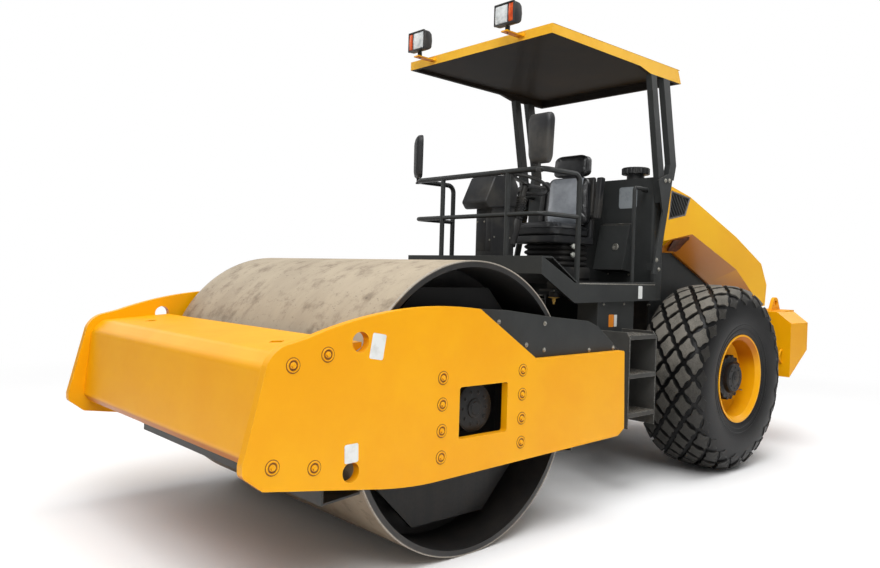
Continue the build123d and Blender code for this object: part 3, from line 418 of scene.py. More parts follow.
# Darker and browner towards the bottom of the drum.
skin = steel.mix(above.ramp(-0.05, -0.7) * 0.6, skin, colour(92, 72, 52))
pits = steel.noise(34, 5, 0.8, stretch=(1.0, 0.7, 1.0))
skin = steel.mix(pits.ramp(0.60, 0.68) * 0.55, skin, colour(62, 54, 46))
skin = steel.mix(grit.ramp(0.62, 0.78) * 0.4, skin, colour(192, 182, 166))
skin = steel.mix(rim * grit.ramp(0.3, 0.6) * 0.7, skin, colour(200, 196, 188))
# Painted shade: the inside of the drum is nearly black, mottled by the soil noise.
inside_shade = steel.mix(soil.ramp(0.4, 0.7), colour(17, 16, 15), colour(36, 31, 27))
steel.finish(
    Base_Color=steel.mix(outside, inside_shade, skin),
    Metallic=outside * (0.25 + rim * 0.4),
    Roughness=0.62 - rim * 0.22 + grit * 0.12,
)
steel.bump(soil * 0.7 + grit * 0.35 + band * 0.6, 0.003, 0.7, round_edges=0.004)
coat(steel, "drum")
coat(rubber, "buffers")

# Cover bolts: bright zinc hexagon heads through the thin rear covers, on both sides.
zinc = Surface("zinc", Metallic=0.85, IOR=1.6)
zinc_cloud = zinc.noise(90, 3, 0.6)
zinc.finish(
    Base_Color=zinc.mix(zinc_cloud.ramp(0.35, 0.7), colour(176, 174, 166), colour(126, 122, 112)),
    Roughness=zinc_cloud * 0.25 + 0.28,
)
zinc.bump(zinc.noise(300, 2), 0.0003, 0.4, round_edges=0.001)
for side_name, side in (("left", 1), ("right", -1)):
    bm = bmesh.new()
    for x, z in ((1.468, 1.265), (1.075, 1.247), (1.077, 1.092), (0.642, 1.071), (0.387, 1.075),
        (1.233, 1.128)):
        hex_bolt(bm, (x, side * 1.105, z), (0, side, 0), 0.010, 0.014)
    hand_over(f"cover_bolts_{side_name}", bm, zinc, "front_frame")

# Drum drive: a ribbed motor cover behind the window of each side plate, with a ring of dark socket heads.
# The covers take the near-black paint as painted shade behind the windows.
for side_name, side in (("left", 1), ("right", -1)):
    bm = bmesh.new()
    lathe(
        bm, [(0, 0.016), (0.034, 0.016), (0.038, 0.012), (0.052, 0.011), (0.055, 0.004), (0.112, 0.004),
             (0.124, 0.002), (0.127, -0.003)],
        facing((drum_x, side * 1.075, drum_z), (0, side, 0)), 48,
    )
    for k in range(10):
        a = math.tau * k / 10
        spot = (drum_x + 0.088 * math.cos(a), side * 1.079, drum_z + 0.088 * math.sin(a))
        hex_bolt(bm, spot, (0, side, 0), 0.008, 0.011)
    hand_over(f"drive_cover_{side_name}", bm, grease_black_and_shade, "front_frame")

# Steering cylinders: hard-chromed rods with a faint film of oil; the barrels share the dark paint.
chrome = Surface("chrome", Metallic=1.0, IOR=2.0)
chrome_film = chrome.noise(60, 3, 0.6)
chrome.finish(
    Base_Color=chrome.mix(chrome_film.ramp(0.4, 0.75) * 0.5, colour(214, 214, 216), colour(168, 164, 156)),
    Roughness=chrome_film * 0.12 + 0.1,
)
chrome.bump(chrome_film, 0.0002, 0.3, round_edges=0.001)
coat(chrome, "steer_rod_left", "steer_rod_right")

# Tyres: wide low-pressure casings. The tread is rows of diamond lugs with hollowed sides and cut corners,
# moulded on the casing 78 mm apart, whose outer rows fade into the shoulder. Lug tops are greyed by dust,
# less of it towards the ground as painted shade.
axle_x, axle_z = -1.375, 0.745
wheel_middle = 0.850
tyre_rubber = Surface("tyre_rubber", IOR=1.5, Specular_IOR_Level=0.25)
tyre_grain = tyre_rubber.noise(120, 4, 0.7)
tyre_cloud = tyre_rubber.noise(5, 5, 0.65)
tread_height = tyre_rubber.add("SeparateXYZ", Vector=tyre_rubber.place()).out("Z")
# Painted shade and light: the lug dust is weaker towards the ground and stronger up high, so the low lugs
# stay darker.
tread_dust_and_shade = tyre_rubber.add("Attribute", {"attribute_name": "dust"}).out("Fac") * (
    tread_height.ramp(0.35, 1.3) + 0.25)
tyre_black = tyre_rubber.mix(tyre_cloud.ramp(0.4, 0.75) * 0.6, colour(12, 12, 13), colour(27, 26, 25))
tyre_rubber.finish(
    Base_Color=tyre_rubber.mix(
        tread_dust_and_shade * (tyre_cloud * 0.5 + tyre_grain * 0.5).ramp(0.2, 0.62), tyre_black,
        colour(118, 114, 106)
    ),
    Roughness=tyre_grain * 0.15 + 0.36 + tread_dust_and_shade * 0.3,
)
tyre_rubber.bump(tyre_grain * 0.6 + tyre_cloud * 0.2, 0.0012, 0.5, round_edges=0)

casing = [
    (0, 0.717), (0.080, 0.7165), (0.150, 0.7125), (0.196, 0.704), (0.232, 0.686), (0.256, 0.660),
    (0.270, 0.628),
    (0.277, 0.588), (0.279, 0.545), (0.277, 0.502), (0.272, 0.462), (0.265, 0.430), (0.259, 0.400),
    (0.255, 0.376),
    (0.250, 0.360),
]
walk = [0.0]
for before, after in zip(casing, casing[1:]):
    walk.append(walk[-1] + math.dist(before, after))


def on_casing(along, lift, turn, middle):
    """Point on the casing at an arc distance from its crown, lifted off it, at an angle round the axle."""
    distance = min(abs(along), walk[-1] - 1e-6)
    k = max(i for i, w in enumerate(walk) if w <= distance)
    k = min(k, len(walk) - 2)
    t = (distance - walk[k]) / (walk[k + 1] - walk[k])
    (y0, r0), (y1, r1) = casing[k], casing[k + 1]
    length = math.dist((y0, r0), (y1, r1))
    normal = ((r0 - r1) / length, (y1 - y0) / length)
    y = (y0 + (y1 - y0) * t + normal[0] * lift) * (1 if along >= 0 else -1)
    r = r0 + (r1 - r0) * t + normal[1] * lift
    return Vector((axle_x + r * math.sin(turn), middle + y, axle_z + r * math.cos(turn)))


lug_count = 21
lug_outline = []
for quarter in range(4):
    a, b = [((1, 0), (0, 1)), ((0, 1), (-1, 0)), ((-1, 0), (0, -1)), ((0, -1), (1, 0))][quarter]
    for t, hollow in ((0.10, 0.0), (0.20, 0.04), (0.34, 0.11), (0.5, 0.13), (0.66, 0.11), (0.80, 0.04),
        (0.90, 0.0)):
        x, y = a[0] * (1 - t) + b[0] * t, a[1] * (1 - t) + b[1] * t
        lug_outline.append((x * (1 - hollow), y * (1 - hollow)))
for side_name, side in (("left", 1), ("right", -1)):
    middle = side * wheel_middle
    bm = bmesh.new()
    dust = bm.verts.layers.float.new("dust")
    fine = []
    for k in range(len(walk) - 1):
        parts = 3 if k < 5 else 2
        fine += [walk[k] + (walk[k + 1] - walk[k]) * j / parts for j in range(parts)]
    fine.append(walk[-1])
    around = lug_count * 8
    loops = []
    for along in [-w for w in reversed(fine)] + fine[1:]:
        loops.append([bm.verts.new(on_casing(along, 0, math.tau * k / around, middle))
            for k in range(around)])
    for end in (-0.250, 0.250):
        ring = [
            bm.verts.new((axle_x + 0.3535 * math.sin(math.tau * k / around), middle + end,
                          axle_z + 0.3535 * math.cos(math.tau * k / around)))
            for k in range(around)
        ]
        if end < 0:
            loops.insert(0, ring)
        else:
            loops.append(ring)
    loops.append(loops[0])
    join_rings(bm, loops)
    for row in range(-4, 5):
        phase = 0.5 * (row % 2)
        for k in range(lug_count):
            turn = math.tau * (k + phase) / lug_count
            centre = math.copysign((0, 0.078, 0.157, 0.232, 0.300)[abs(row)], row)
            half_width, half_length = (0.0615, 0.0870) if abs(row) < 4 else (0.050, 0.074)
            radius = (0.717, 0.717, 0.717, 0.700, 0.660)[abs(row)]
            top = (0.0278, 0.0275, 0.0270, 0.0230, 0.0070)[abs(row)]
            dusting = (1.0, 1.0, 0.9, 0.6, 0.15)[abs(row)]
            rings = []
            for lift, grow, dusty in ((-0.006, 1.05, 0), (top - 0.005, 1.0, 0.25),
                (top - 0.0012, 0.975, 0.9),
                                      (top, 0.94, 1.0)):
                ring = []
                for u, v in lug_outline:
                    along = centre + v * half_width * grow
                    fade = 1.0 if abs(row) != 3 else 1.0 - 0.6 * max(0.0, v * (1 if row > 0 else -1))
                    vert = bm.verts.new(on_casing(
                        along, lift * (fade if lift > 0 else 1), turn + u * half_length * grow / radius,
                        middle
                    ))
                    vert[dust] = dusty * dusting
                    ring.append(vert)
                rings.append(ring)
            count = len(lug_outline)
            join_rings(bm, rings)
            hub_point = bm.verts.new(on_casing(centre, top * (1 if abs(row) != 3 else 0.97), turn, middle))
            hub_point[dust] = dusting
            for j in range(count):
                bm.faces.new((rings[-1][j], rings[-1][(j + 1) % count], hub_point))
    for ring_side in (1, -1):
        for ring_radius, ring_out in ((0.431, 0.2655), (0.398, 0.2588)):
            where = Matrix.Translation((axle_x, middle + ring_side * ring_out, axle_z)) @ Matrix.Rotation(
                -ring_side * math.pi / 2, 4, "X"
            )
            lathe(
                bm, [(ring_radius + 0.0045, -0.001), (ring_radius + 0.002, 0.0016),
                    (ring_radius - 0.002, 0.0022),
                     (ring_radius - 0.005, -0.0005)],
                where, 168,
            )
    tyre = hand_over(f"tread_{side_name}", bm, tyre_rubber, f"wheel_{side_name}", 32)
    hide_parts(f"tyre_{side_name}")

# Wheel hubs: planetary hubs in greasy black paint. Sixteen round lobes stand round the flange, each with a
# stud, and a turned cover with a level plug closes it; a short valve stands in the rim.
for side_name, side in (("left", 1), ("right", -1)):
    bm = bmesh.new()
    for k in range(16):
        a = math.tau * (k + 0.5) / 16
        spot = Vector((axle_x + 0.166 * math.cos(a), side * 1.0115, axle_z + 0.166 * math.sin(a)))
        lathe(
            bm, [(0, 0.006), (0.013, 0.006), (0.0165, 0.003), (0.0170, 0.0), (0.0170, -0.045),
                (0.012, -0.048)],
            facing(spot, (0, side, 0)), 16,
        )
        hex_bolt(bm, (axle_x + 0.139 * math.cos(a + 0.19), side * 1.0125,
            axle_z + 0.139 * math.sin(a + 0.19)),
                 (0, side, 0), 0.0080, 0.0105)
    lathe(
        bm, [(0, 0.0065), (0.018, 0.0065), (0.021, 0.003), (0.052, 0.003), (0.056, 0.001), (0.060, -0.003)],
        facing((axle_x, side * 1.060, axle_z), (0, side, 0)), 40,
    )
    for k in range(8):
        a = math.tau * k / 8
        spot = (axle_x + 0.084 * math.cos(a), side * 1.0598, axle_z + 0.084 * math.sin(a))
        hex_bolt(bm, spot, (0, side, 0), 0.0075, 0.0095)
    hand_over(f"hub_bolts_{side_name}", bm, grease_black_and_shade, f"wheel_{side_name}")
    bm = bmesh.new()
    valve_turn = math.radians(206)
    valve_spot = Vector((axle_x + 0.288 * math.cos(valve_turn) * side, side * 0.935,
        axle_z + 0.288 * math.sin(valve_turn)))
    lathe(
        bm, [(0.0, 0.058), (0.0045, 0.058), (0.0055, 0.054), (0.0055, 0.038), (0.004, 0.037),
            (0.004, 0.018),
             (0.009, 0.016), (0.009, 0.004), (0.014, 0.002), (0.015, -0.012)],
        facing(valve_spot, (0, side, 0)), 16,
    )
    hand_over(f"valve_{side_name}", bm, zinc, f"wheel_{side_name}")

# Ladder treads: pressed steel, with raised drainage collars in rows and a saw-toothed lip along each edge.
# The fourth colour is the painted shade for faces that turn downwards.
worn = painted(
    "worn_tread", colour(74, 74, 72), colour(50, 50, 49), colour(170, 168, 160), colour(20, 20, 20),
    rough=0.5,
    dust=0.5, coat=0.0,
)
for side_name, side in (("left", 1), ("right", -1)):
    bm = bmesh.new()
    for height in (0.575, 0.850, 1.123):
        for row in range(4):
            for k in range(7):
                spot = (-0.3390 + 0.0465 * k, side * (0.790 + 0.042 * row), height)
                lathe(
                    bm, [(0.0085, -0.001), (0.0085, 0.0022), (0.0105, 0.003), (0.0135, 0.0012),
                        (0.0145, -0.0006)],
                    Matrix.Translation(spot), 10,
                )
        for edge in (0.766, 0.948):
            low_ring, high_ring = [], []
            for k in range(27):
                x = -0.357 + 0.012 * k
                low_ring.append(bm.verts.new((x, side * edge, height - 0.001)))
                high_ring.append(bm.verts.new((x, side * edge, height + (0.006 if k % 2 else 0.001))))
            for k in range(26):
                bm.faces.new((low_ring[k], low_ring[k + 1], high_ring[k + 1], high_ring[k]))
            thick = bmesh.ops.extrude_face_region(bm, geom=[f for f in bm.faces
                if low_ring[0] in f.verts or any(
                v in low_ring for v in f.verts)])
            bmesh.ops.translate(
                bm, verts=[v for v in thick["geom"] if isinstance(v, bmesh.types.BMVert)],
                vec=(0, side * 0.0025, 0)
            )
    hand_over(f"tread_grip_{side_name}", bm, worn, "rear_frame")
coat(worn, "ladders")

# Platform: the floor carries a ribbed rubber mat, and a worn bright strip finishes the sill of each entry.
bm = bmesh.new()
mat_ribs = 26
profile = []
for k in range(mat_ribs):
    x = -0.700 + 0.0345 * k
    profile += [(x, 0.0035), (x + 0.006, 0.006), (x + 0.021, 0.006), (x + 0.027, 0.0035)]
rows = []
for y in (-0.560, -0.555, 0.555, 0.560):
    drop = 0.003 if abs(y) > 0.556 else 0.0
    rows.append([bm.verts.new((x, y, 1.480 + max(z - drop, 0.0004))) for x, z in profile])
join_rings(bm, rows, closed=False)
bmesh.ops.remove_doubles(bm, verts=bm.verts, dist=1e-6)
hand_over("floor_mat", bm, rubber, "rear_frame")
for side_name, side in (("left", 1), ("right", -1)):
    bm = bmesh.new()
    section = [(0.6905, 1.474), (0.6915, 1.481), (0.688, 1.4825), (0.664, 1.4822), (0.662, 1.4802)]
    rows = [[bm.verts.new((x, side * y, z)) for y, z in section] for x in (-0.745, -0.30, 0.10, 0.215)]
    join_rings(bm, rows, closed=False)
    hand_over(f"entry_sill_{side_name}", bm, zinc, "rear_frame")
    for label_name, key, centre, size in (
        ("step_label", "white", (-0.545, 0.6902, 1.418), (0.055, 0.098)),
        ("box_label", "orange", (-0.219, 0.6602, 1.205), (0.064, 0.092)),
        ("box_note", "white", (-0.273, 0.6602, 1.205), (0.036, 0.088)),
    ):
        sticker(
            f"{label_name}_{side_name}", key, (centre[0], side * centre[1], centre[2]), (0, side, 0),
            (1, 0, 0),
            size, "rear_frame",
        )
    bm = bmesh.new()
    for x, y, z in ((-0.378, 0.660, 1.329), (-0.120, 0.660, 1.329), (-0.901, 0.550, 1.311),
        (-0.870, 0.550, 1.311)):
        hex_bolt(bm, (x, side * y, z), (0, side, 0), 0.0075, 0.010)
    hand_over(f"box_bolts_{side_name}", bm, zinc, "rear_frame")

# Platform mount: a rubber buffer with a yellow-passivated washer, hung from a bolted plate under the ledge.
brass = Surface("passivated", Metallic=0.8, IOR=1.6)
brass_cloud = brass.noise(70, 3, 0.6)
brass.finish(
    Base_Color=brass.mix(brass_cloud.ramp(0.35, 0.7), colour(206, 170, 92), colour(150, 118, 60)),
    Roughness=brass_cloud * 0.2 + 0.3,
)
brass.bump(brass_cloud, 0.0002, 0.4, round_edges=0.001)
for side_name, side in (("left", 1), ("right", -1)):
    base = Vector((0.330, side * 0.560, 1.460))
    bm = bmesh.new()
    bmesh.ops.create_cube(bm, size=1.0, matrix=Matrix.Translation(
        base + Vector((0, 0, -0.035))) @ Matrix.Diagonal(
        (0.200, 0.110, 0.016, 1)
    ))
    bmesh.ops.create_cube(bm, size=1.0, matrix=Matrix.Translation(
        base + Vector((0, 0, 0.020))) @ Matrix.Diagonal(
        (0.060, 0.080, 0.110, 1)
    ))
    bmesh.ops.bevel(bm, geom=list(bm.edges), offset=0.003, segments=2, profile=0.5, affect="EDGES",
        material=-1)
    hand_over(f"mount_plate_{side_name}", bm, dark, "rear_frame")
    bm = bmesh.new()
    lathe(bm, [(0, -0.001), (0.030, -0.001), (0.036, -0.008), (0.033, -0.030), (0.038, -0.040),
        (0, -0.040)],
          Matrix.Translation(base + Vector((0, 0, -0.042))), 28)
    hand_over(f"mount_rubber_{side_name}", bm, rubber, "rear_frame")
    bm = bmesh.new()
    lathe(bm, [(0, 0.001), (0.041, 0.001), (0.042, -0.003), (0.013, -0.010), (0.013, -0.030),
        (0.008, -0.034),
               (0.008, -0.050), (0, -0.051)],
          Matrix.Translation(base + Vector((0, 0, -0.083))), 28)
    hand_over(f"mount_washer_{side_name}", bm, brass, "rear_frame")
    bm = bmesh.new()
    for x in (-0.070, 0.070):
        hex_bolt(bm, base + Vector((x, side * 0.055, -0.035)), (0, side, 0), 0.006, 0.0075)
    hand_over(f"mount_bolts_{side_name}", bm, zinc, "rear_frame")

# Console: a moulded instrument box on a folded pedestal with bolted front panels, and a ribbed boot round
# the steering column. Plastic, satin black, with a fine leather-like grain.
plastic = Surface("black_plastic", IOR=1.46)
plastic_grain = plastic.noise(420, 3, 0.6)
plastic_cloud = plastic.noise(4, 4, 0.6)
plastic_dust = plastic.add("SeparateXYZ", Vector=plastic.add("NewGeometry").out("Normal")).out("Z").ramp(
    0.6, 1.0)
plastic.finish(
    Base_Color=plastic.mix(
        plastic_cloud.ramp(0.4, 0.7) * 0.35 + plastic_dust * 0.22, colour(34, 35, 37), colour(96, 92, 84)
    ),
    Roughness=plastic_grain * 0.12 + 0.4 + plastic_dust * 0.15,
)
plastic.bump(plastic_grain, 0.0005, 0.5, round_edges=0.002)


def prism(bm, outline, low, high, bevel, segments=3):
    """Upright outline of (x, z) points drawn through from one y to another, with rounded edges."""
    near = [bm.verts.new((x, low, z)) for x, z in outline]
    far = [bm.verts.new((x, high, z)) for x, z in outline]
    count = len(outline)
    faces = [bm.faces.new(near), bm.faces.new(far)]
    faces += [bm.faces.new((near[k], near[(k + 1) % count], far[(k + 1) % count], far[k]))
        for k in range(count)]
    bmesh.ops.recalc_face_normals(bm, faces=faces)
    edges = list({edge for face in faces for edge in face.edges})
    bmesh.ops.bevel(
        bm, geom=edges, offset=bevel, segments=segments, profile=0.5, affect="EDGES", material=-1,
        clamp_overlap=True
    )


console_x = 0.434
wheel_centre = Vector((0.034, 0, 2.232))
column = facing(wheel_centre, (-0.35, 0, 1))
bm = bmesh.new()
prism(
    bm, [(console_x + x, z) for x, z in ((0.100, 2.060), (0.0, 2.255), (-0.200, 2.285), (-0.260, 2.200),
                                         (-0.240, 2.040), (0.060, 2.010))], -0.200, 0.060, 0.016, 4,
)
prism(
    bm, [(0.4385, 1.6265), (0.4385, 2.070), (0.190, 2.070), (0.190, 1.4808), (0.226, 1.4808)], -0.130,
    0.040, 0.008,
)
for low, high, bottom, top in ((-0.122, -0.026, 1.700, 1.990), (-0.020, 0.033, 1.700, 1.990)):
    prism(bm, [(0.436, bottom), (0.436, top), (0.4415, top), (0.4415, bottom)], low, high, 0.002, 2)
boot = [(0.026, -0.112), (0.040, -0.116)]
for k in range(9):
    boot += [(0.049, -0.128 - 0.020 * k), (0.042, -0.138 - 0.020 * k)]
lathe(bm, boot + [(0.050, -0.330), (0.050, -0.508), (0, -0.509)], column, 36)
shell = hand_over("console_shell", bm, plastic, "rear_frame", 30)
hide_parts("console")
bm = bmesh.new()
for x, y, z, out in ((0.4415, -0.110, 1.917, 0), (0.4415, -0.038, 1.917, 0), (0.4415, 0.022, 1.780, 0),
                     (0.411, 0.040, 1.803, 1), (0.240, 0.040, 1.803, 1)):
    hex_bolt(bm, (x, y, z), (0, 1, 0) if out else (1, 0, 0), 0.0055, 0.0075)
hand_over("console_bolts", bm, zinc, "rear_frame")

# Instruments: three blank dials in bright bezels on the slope that faces the seat, a row of rocker switches
# under them and a key barrel.
glass = Surface("lens_glass", Roughness=0.05, IOR=1.5, Coat_Weight=0.6, Coat_Roughness=0.03)
glass.finish(Base_Color=glass.mix(glass.noise(30, 2).ramp(0.3, 0.8), colour(222, 226, 226),
    colour(178, 184, 186)))
glass.bump(glass.noise(12, 2), 0.0004, 0.3, round_edges=0.001)
bm = bmesh.new()
bm_dial = bmesh.new()
for y in (-0.152, -0.070, 0.012):
    dial = facing((console_x - 0.232, y, 2.2430), Vector((-0.817, 0, 0.577)))
    lathe(bm, [(0.029, 0.0), (0.029, 0.006), (0.032, 0.008), (0.035, 0.006), (0.036, -0.002)], dial, 32)
    lathe(bm_dial, [(0, 0.0025), (0.0285, 0.002), (0.0285, -0.001)], dial, 32)
lathe(bm, [(0, 0.010), (0.004, 0.010), (0.009, 0.006), (0.012, 0.004), (0.013, -0.002)],
      facing((console_x - 0.2525, 0.032, 2.140), (-1, 0, -0.12)), 20)
hand_over("dial_bezels", bm, zinc, "rear_frame")
hand_over("dials", bm_dial, glass, "rear_frame")
bm = bmesh.new()
for k in range(5):
    prism(
        bm, [(console_x - 0.250, 2.130), (console_x - 0.256, 2.132), (console_x - 0.262, 2.150),
             (console_x - 0.257, 2.168), (console_x - 0.250, 2.168)], -0.182 + 0.038 * k,
             -0.159 + 0.038 * k, 0.002, 2,
    )
hand_over("rocker_switches", bm, plastic, "rear_frame")
coat(plastic, "steering_wheel")

# Steering wheel trim: a padded centre cap and finger grips under the rim.
bm = bmesh.new()
lathe(bm, [(0, 0.018), (0.022, 0.017), (0.034, 0.012), (0.040, 0.005), (0.041, 0.002)], column, 32)
for k in range(40):
    a = math.tau * k / 40
    spot = column @ Vector((0.180 * math.cos(a), 0.180 * math.sin(a), -0.011))
    lathe(bm, [(0, 0.0), (0.003, -0.0005), (0.0055, -0.0025), (0.0062, -0.0050)],
        facing(spot, Vector(column.col[2][:3])), 8)
hand_over("wheel_trim", bm, plastic, "rear_frame")

# Seat frame: pressed base on two rails, a pleated rubber boot over the suspension, a steel pan, a moulded
# back shell and folded-up arm rests. A pale adjuster knob stands on its left side.


def tray(half_x, half_y, corner, steps=5):
    """Corner-rounded rectangle as points round the origin."""
    points = []
    for quarter, (sx, sy) in enumerate(((1, 1), (-1, 1), (-1, -1), (1, -1))):
        for step in range(steps + 1):
            a = (quarter + step / steps) * math.pi / 2
            points.append((
                sx * (half_x - corner) + corner * math.cos(a), sy * (half_y - corner) + corner * math.sin(a)
            ))
    return points


def stack(bm, centre, layers, corner, closed=True):
    """Skin through level rounded rectangles: (half_x, half_y, z) from the bottom up."""
    rings = [
        [bm.verts.new((centre[0] + x, centre[1] + y, z)) for x,
            y in tray(hx, hy, min(corner, hx * 0.9, hy * 0.9))]
        for hx, hy, z in layers
    ]
    join_rings(bm, rings)
    if closed:
        bm.faces.new(rings[0])
        bm.faces.new(rings[-1])


seat_x = -0.488
bm = bmesh.new()
for y in (-0.175, 0.175):
    prism(bm, [(seat_x - 0.07, 1.4805), (seat_x + 0.33, 1.4805), (seat_x + 0.33, 1.510),
        (seat_x - 0.07, 1.510)],
          y - 0.025, y + 0.025, 0.004)
stack(bm, (seat_x + 0.130, 0), ((0.196, 0.206, 1.508), (0.200, 0.210, 1.512), (0.200, 0.210, 1.590),
                                (0.194, 0.204, 1.600)), 0.020)
stack(bm, (seat_x + 0.180, 0), ((0.230, 0.222, 1.780), (0.250, 0.240, 1.790), (0.250, 0.240, 1.832),
                                (0.245, 0.235, 1.8395)), 0.030)
for side in (1, -1):
    prism(
        bm, [(seat_x - 0.055, 1.995), (seat_x - 0.035, 1.990), (seat_x - 0.004, 1.993),
            (seat_x - 0.040, 2.325),
             (seat_x - 0.060, 2.330), (seat_x - 0.098, 2.325)], side * 0.285 - 0.025, side * 0.285 + 0.025,
             0.017, 4,
    )
    lathe(
        bm, [(0, 0.022), (0.012, 0.022), (0.024, 0.019), (0.025, 0.012), (0.025, -0.024)],
        facing((seat_x - 0.050, side * 0.240, 2.020), (0, side, 0)), 24,
    )
prism(
    bm, [(seat_x - 0.090, 1.800), (seat_x - 0.032, 1.800), (seat_x - 0.0695, 2.338),
        (seat_x - 0.110, 2.338)],
    -0.218, 0.218, 0.018, 4,
)
seat_metal = hand_over("seat_frame_body", bm, plastic, "rear_frame")
bm = bmesh.new()
pleats = []
for k in range(4):
    z = 1.600 + 0.045 * k
    pleats += [(0.160, 0.180, z), (0.178, 0.198, z + 0.012), (0.182, 0.202, z + 0.0225),
        (0.178, 0.198, z + 0.033)]
pleats.append((0.160, 0.180, 1.781))
stack(bm, (seat_x + 0.130, 0), pleats, 0.040)
hand_over("seat_boot", bm, rubber, "rear_frame", 50)
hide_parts("seat_frame")
knob_ivory = Surface("knob_ivory", IOR=1.48, Roughness=0.35)
knob_ivory.finish(Base_Color=knob_ivory.mix(
    knob_ivory.noise(60, 3).ramp(0.4, 0.8), colour(206, 208, 200), colour(160, 160, 150)
))
knob_ivory.bump(knob_ivory.noise(200, 2), 0.0003, 0.4, round_edges=0.001)
bm = bmesh.new()
for x, z, direction, length in ((-0.291, 1.765, (0.2, 1, -0.1), 0.045),
    (-0.30, 1.700, (0.1, 1, -0.3), 0.030)):
    lathe(
        bm, [(0.0, length), (0.014, length - 0.001), (0.021, length - 0.008), (0.021, length - 0.020),
             (0.010, length - 0.026), (0.006, length - 0.028), (0.006, -0.012)],
        facing((x, 0.212, z), direction), 20,
    )
hand_over("seat_knobs", bm, knob_ivory, "rear_frame")

# Seat pads: vinyl over foam, blown up from slightly smaller blocks by a short cloth simulation that is held
# along the piping. The back is pale grey with black bolsters; the cushion and head pad are black.


def vinyl_cover(name, main, shade, bolster=None, rough=0.34):
    """Coated cloth with a fine grain, soft folds near its seams and a worn sheen."""
    surface = Surface(name, IOR=1.5, Coat_Weight=0.25, Coat_Roughness=0.25)
    grain = surface.noise(650, 3, 0.6)
    folds = surface.noise(14, 4, 0.55, stretch=(1.0, 0.55, 1.8))
    wear = surface.noise(5, 4, 0.6)
    tone = surface.mix(wear.ramp(0.35, 0.7), main, shade)
    if bolster:
        across = surface.add("SeparateXYZ", Vector=surface.place()).out("Y").math("ABSOLUTE")
        tone = surface.mix(across.ramp(0.164, 0.168), tone, bolster)
    surface.finish(Base_Color=tone, Roughness=wear * 0.14 + (rough - 0.06))
    surface.bump(folds * 0.9 + grain * 0.06, 0.006, 0.55, round_edges=0)
    return surface


black_vinyl = vinyl_cover("black_vinyl", colour(24, 25, 27), colour(46, 47, 49))
pale_vinyl = vinyl_cover("pale_vinyl", colour(168, 173, 180), colour(138, 143, 150), colour(30, 31, 33),
    0.28)


def cushion(name, bm, surface, held, cap, voxel=0.008):
    """Foam pad: the block is remeshed, blown up as cloth where it isn't held, and its movement is capped."""
    bmesh.ops.recalc_face_normals(bm, faces=bm.faces)
    mesh = bpy.data.meshes.new(name)
    bm.to_mesh(mesh)
    bm.free()
    pad = bpy.data.objects.new(name, mesh)
    bpy.context.scene.collection.objects.link(pad)
    remesh = pad.modifiers.new("remesh", "REMESH")
    remesh.mode = "VOXEL"
    remesh.voxel_size = voxel
    soften = pad.modifiers.new("soften", "SMOOTH")
    soften.iterations = 3
    graph = bpy.context.evaluated_depsgraph_get()
    rounded = bpy.data.meshes.new_from_object(pad.evaluated_get(graph))
    pad.modifiers.clear()
    pad.data = rounded
    start = [v.co.copy() for v in rounded.vertices]
    group = pad.vertex_groups.new(name="held")
    group.add([v.index for v in rounded.vertices if held(v.co)], 1.0, "REPLACE")
    cloth = pad.modifiers.new("cloth", "CLOTH")
    cloth.settings.quality = 4
    cloth.settings.mass = 0.3
    cloth.settings.use_pressure = True
    cloth.settings.uniform_pressure_force = 4.0
    cloth.settings.vertex_group_mass = "held"
    cloth.settings.tension_stiffness = 12
    cloth.settings.compression_stiffness = 12
    cloth.settings.bending_stiffness = 1.5
    cloth.settings.effector_weights.gravity = 0.0
    cloth.point_cache.frame_start = 1
    cloth.point_cache.frame_end = 20
    for step in range(1, 21):
        bpy.context.scene.frame_set(step)
    blown = pad.evaluated_get(bpy.context.evaluated_depsgraph_get()).to_mesh()
    moved = [v.co.copy() for v in blown.vertices]
    pad.modifiers.clear()
    bpy.context.scene.frame_set(1)
    for vert, before, after in zip(rounded.vertices, start, moved):
        step = after - before
        if step.length > cap:
            step = step.normalized() * (cap * (2.0 - cap / step.length)
                if step.length < 2 * cap else cap * 1.5)
        vert.co = before + step
    finer = pad.modifiers.new("finer", "SUBSURF")
    finer.levels = finer.render_levels = 1
    rounded.shade_smooth()
    rounded.materials.append(surface.material)
    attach(pad, "rear_frame")
    return pad


def piping(bm, path, radius=0.0035, sides=8):
    """Closed cord of piping through a ring of points."""
    count = len(path)
    rings = []
    for k, point in enumerate(path):
        ahead = (path[(k + 1) % count] - path[k - 1]).normalized()
        frame_at = facing(point, ahead)
        rings.append([
            bm.verts.new(frame_at @ Vector((radius * math.cos(a), radius * math.sin(a), 0)))
            for a in [math.tau * j / sides for j in range(sides)]
        ])
    join_rings(bm, rings + rings[:1])


piping_bm = bmesh.new()
bm = bmesh.new()
stack(bm, (seat_x + 0.205, 0), ((0.215, 0.220, 1.8415), (0.228, 0.234, 1.856), (0.230, 0.236, 1.900),
                                (0.222, 0.228, 1.925), (0.190, 0.195, 1.936)), 0.070)
cushion_pad = cushion(
    "seat_cushion", bm, black_vinyl, lambda p: p.z < 1.858 or abs(p.z - 1.900) < 0.006, 0.012
)
piping(piping_bm, [Vector((seat_x + 0.205 + x, y, 1.903)) for x, y in tray(0.2315, 0.2375, 0.071, 9)])


def lean(x_offset, z, y):
    """Point on the leaning seat back: x_offset ahead of the shell's front face."""
    return Vector((-0.518 - 0.074 * (z - 1.800) + x_offset, y, z))


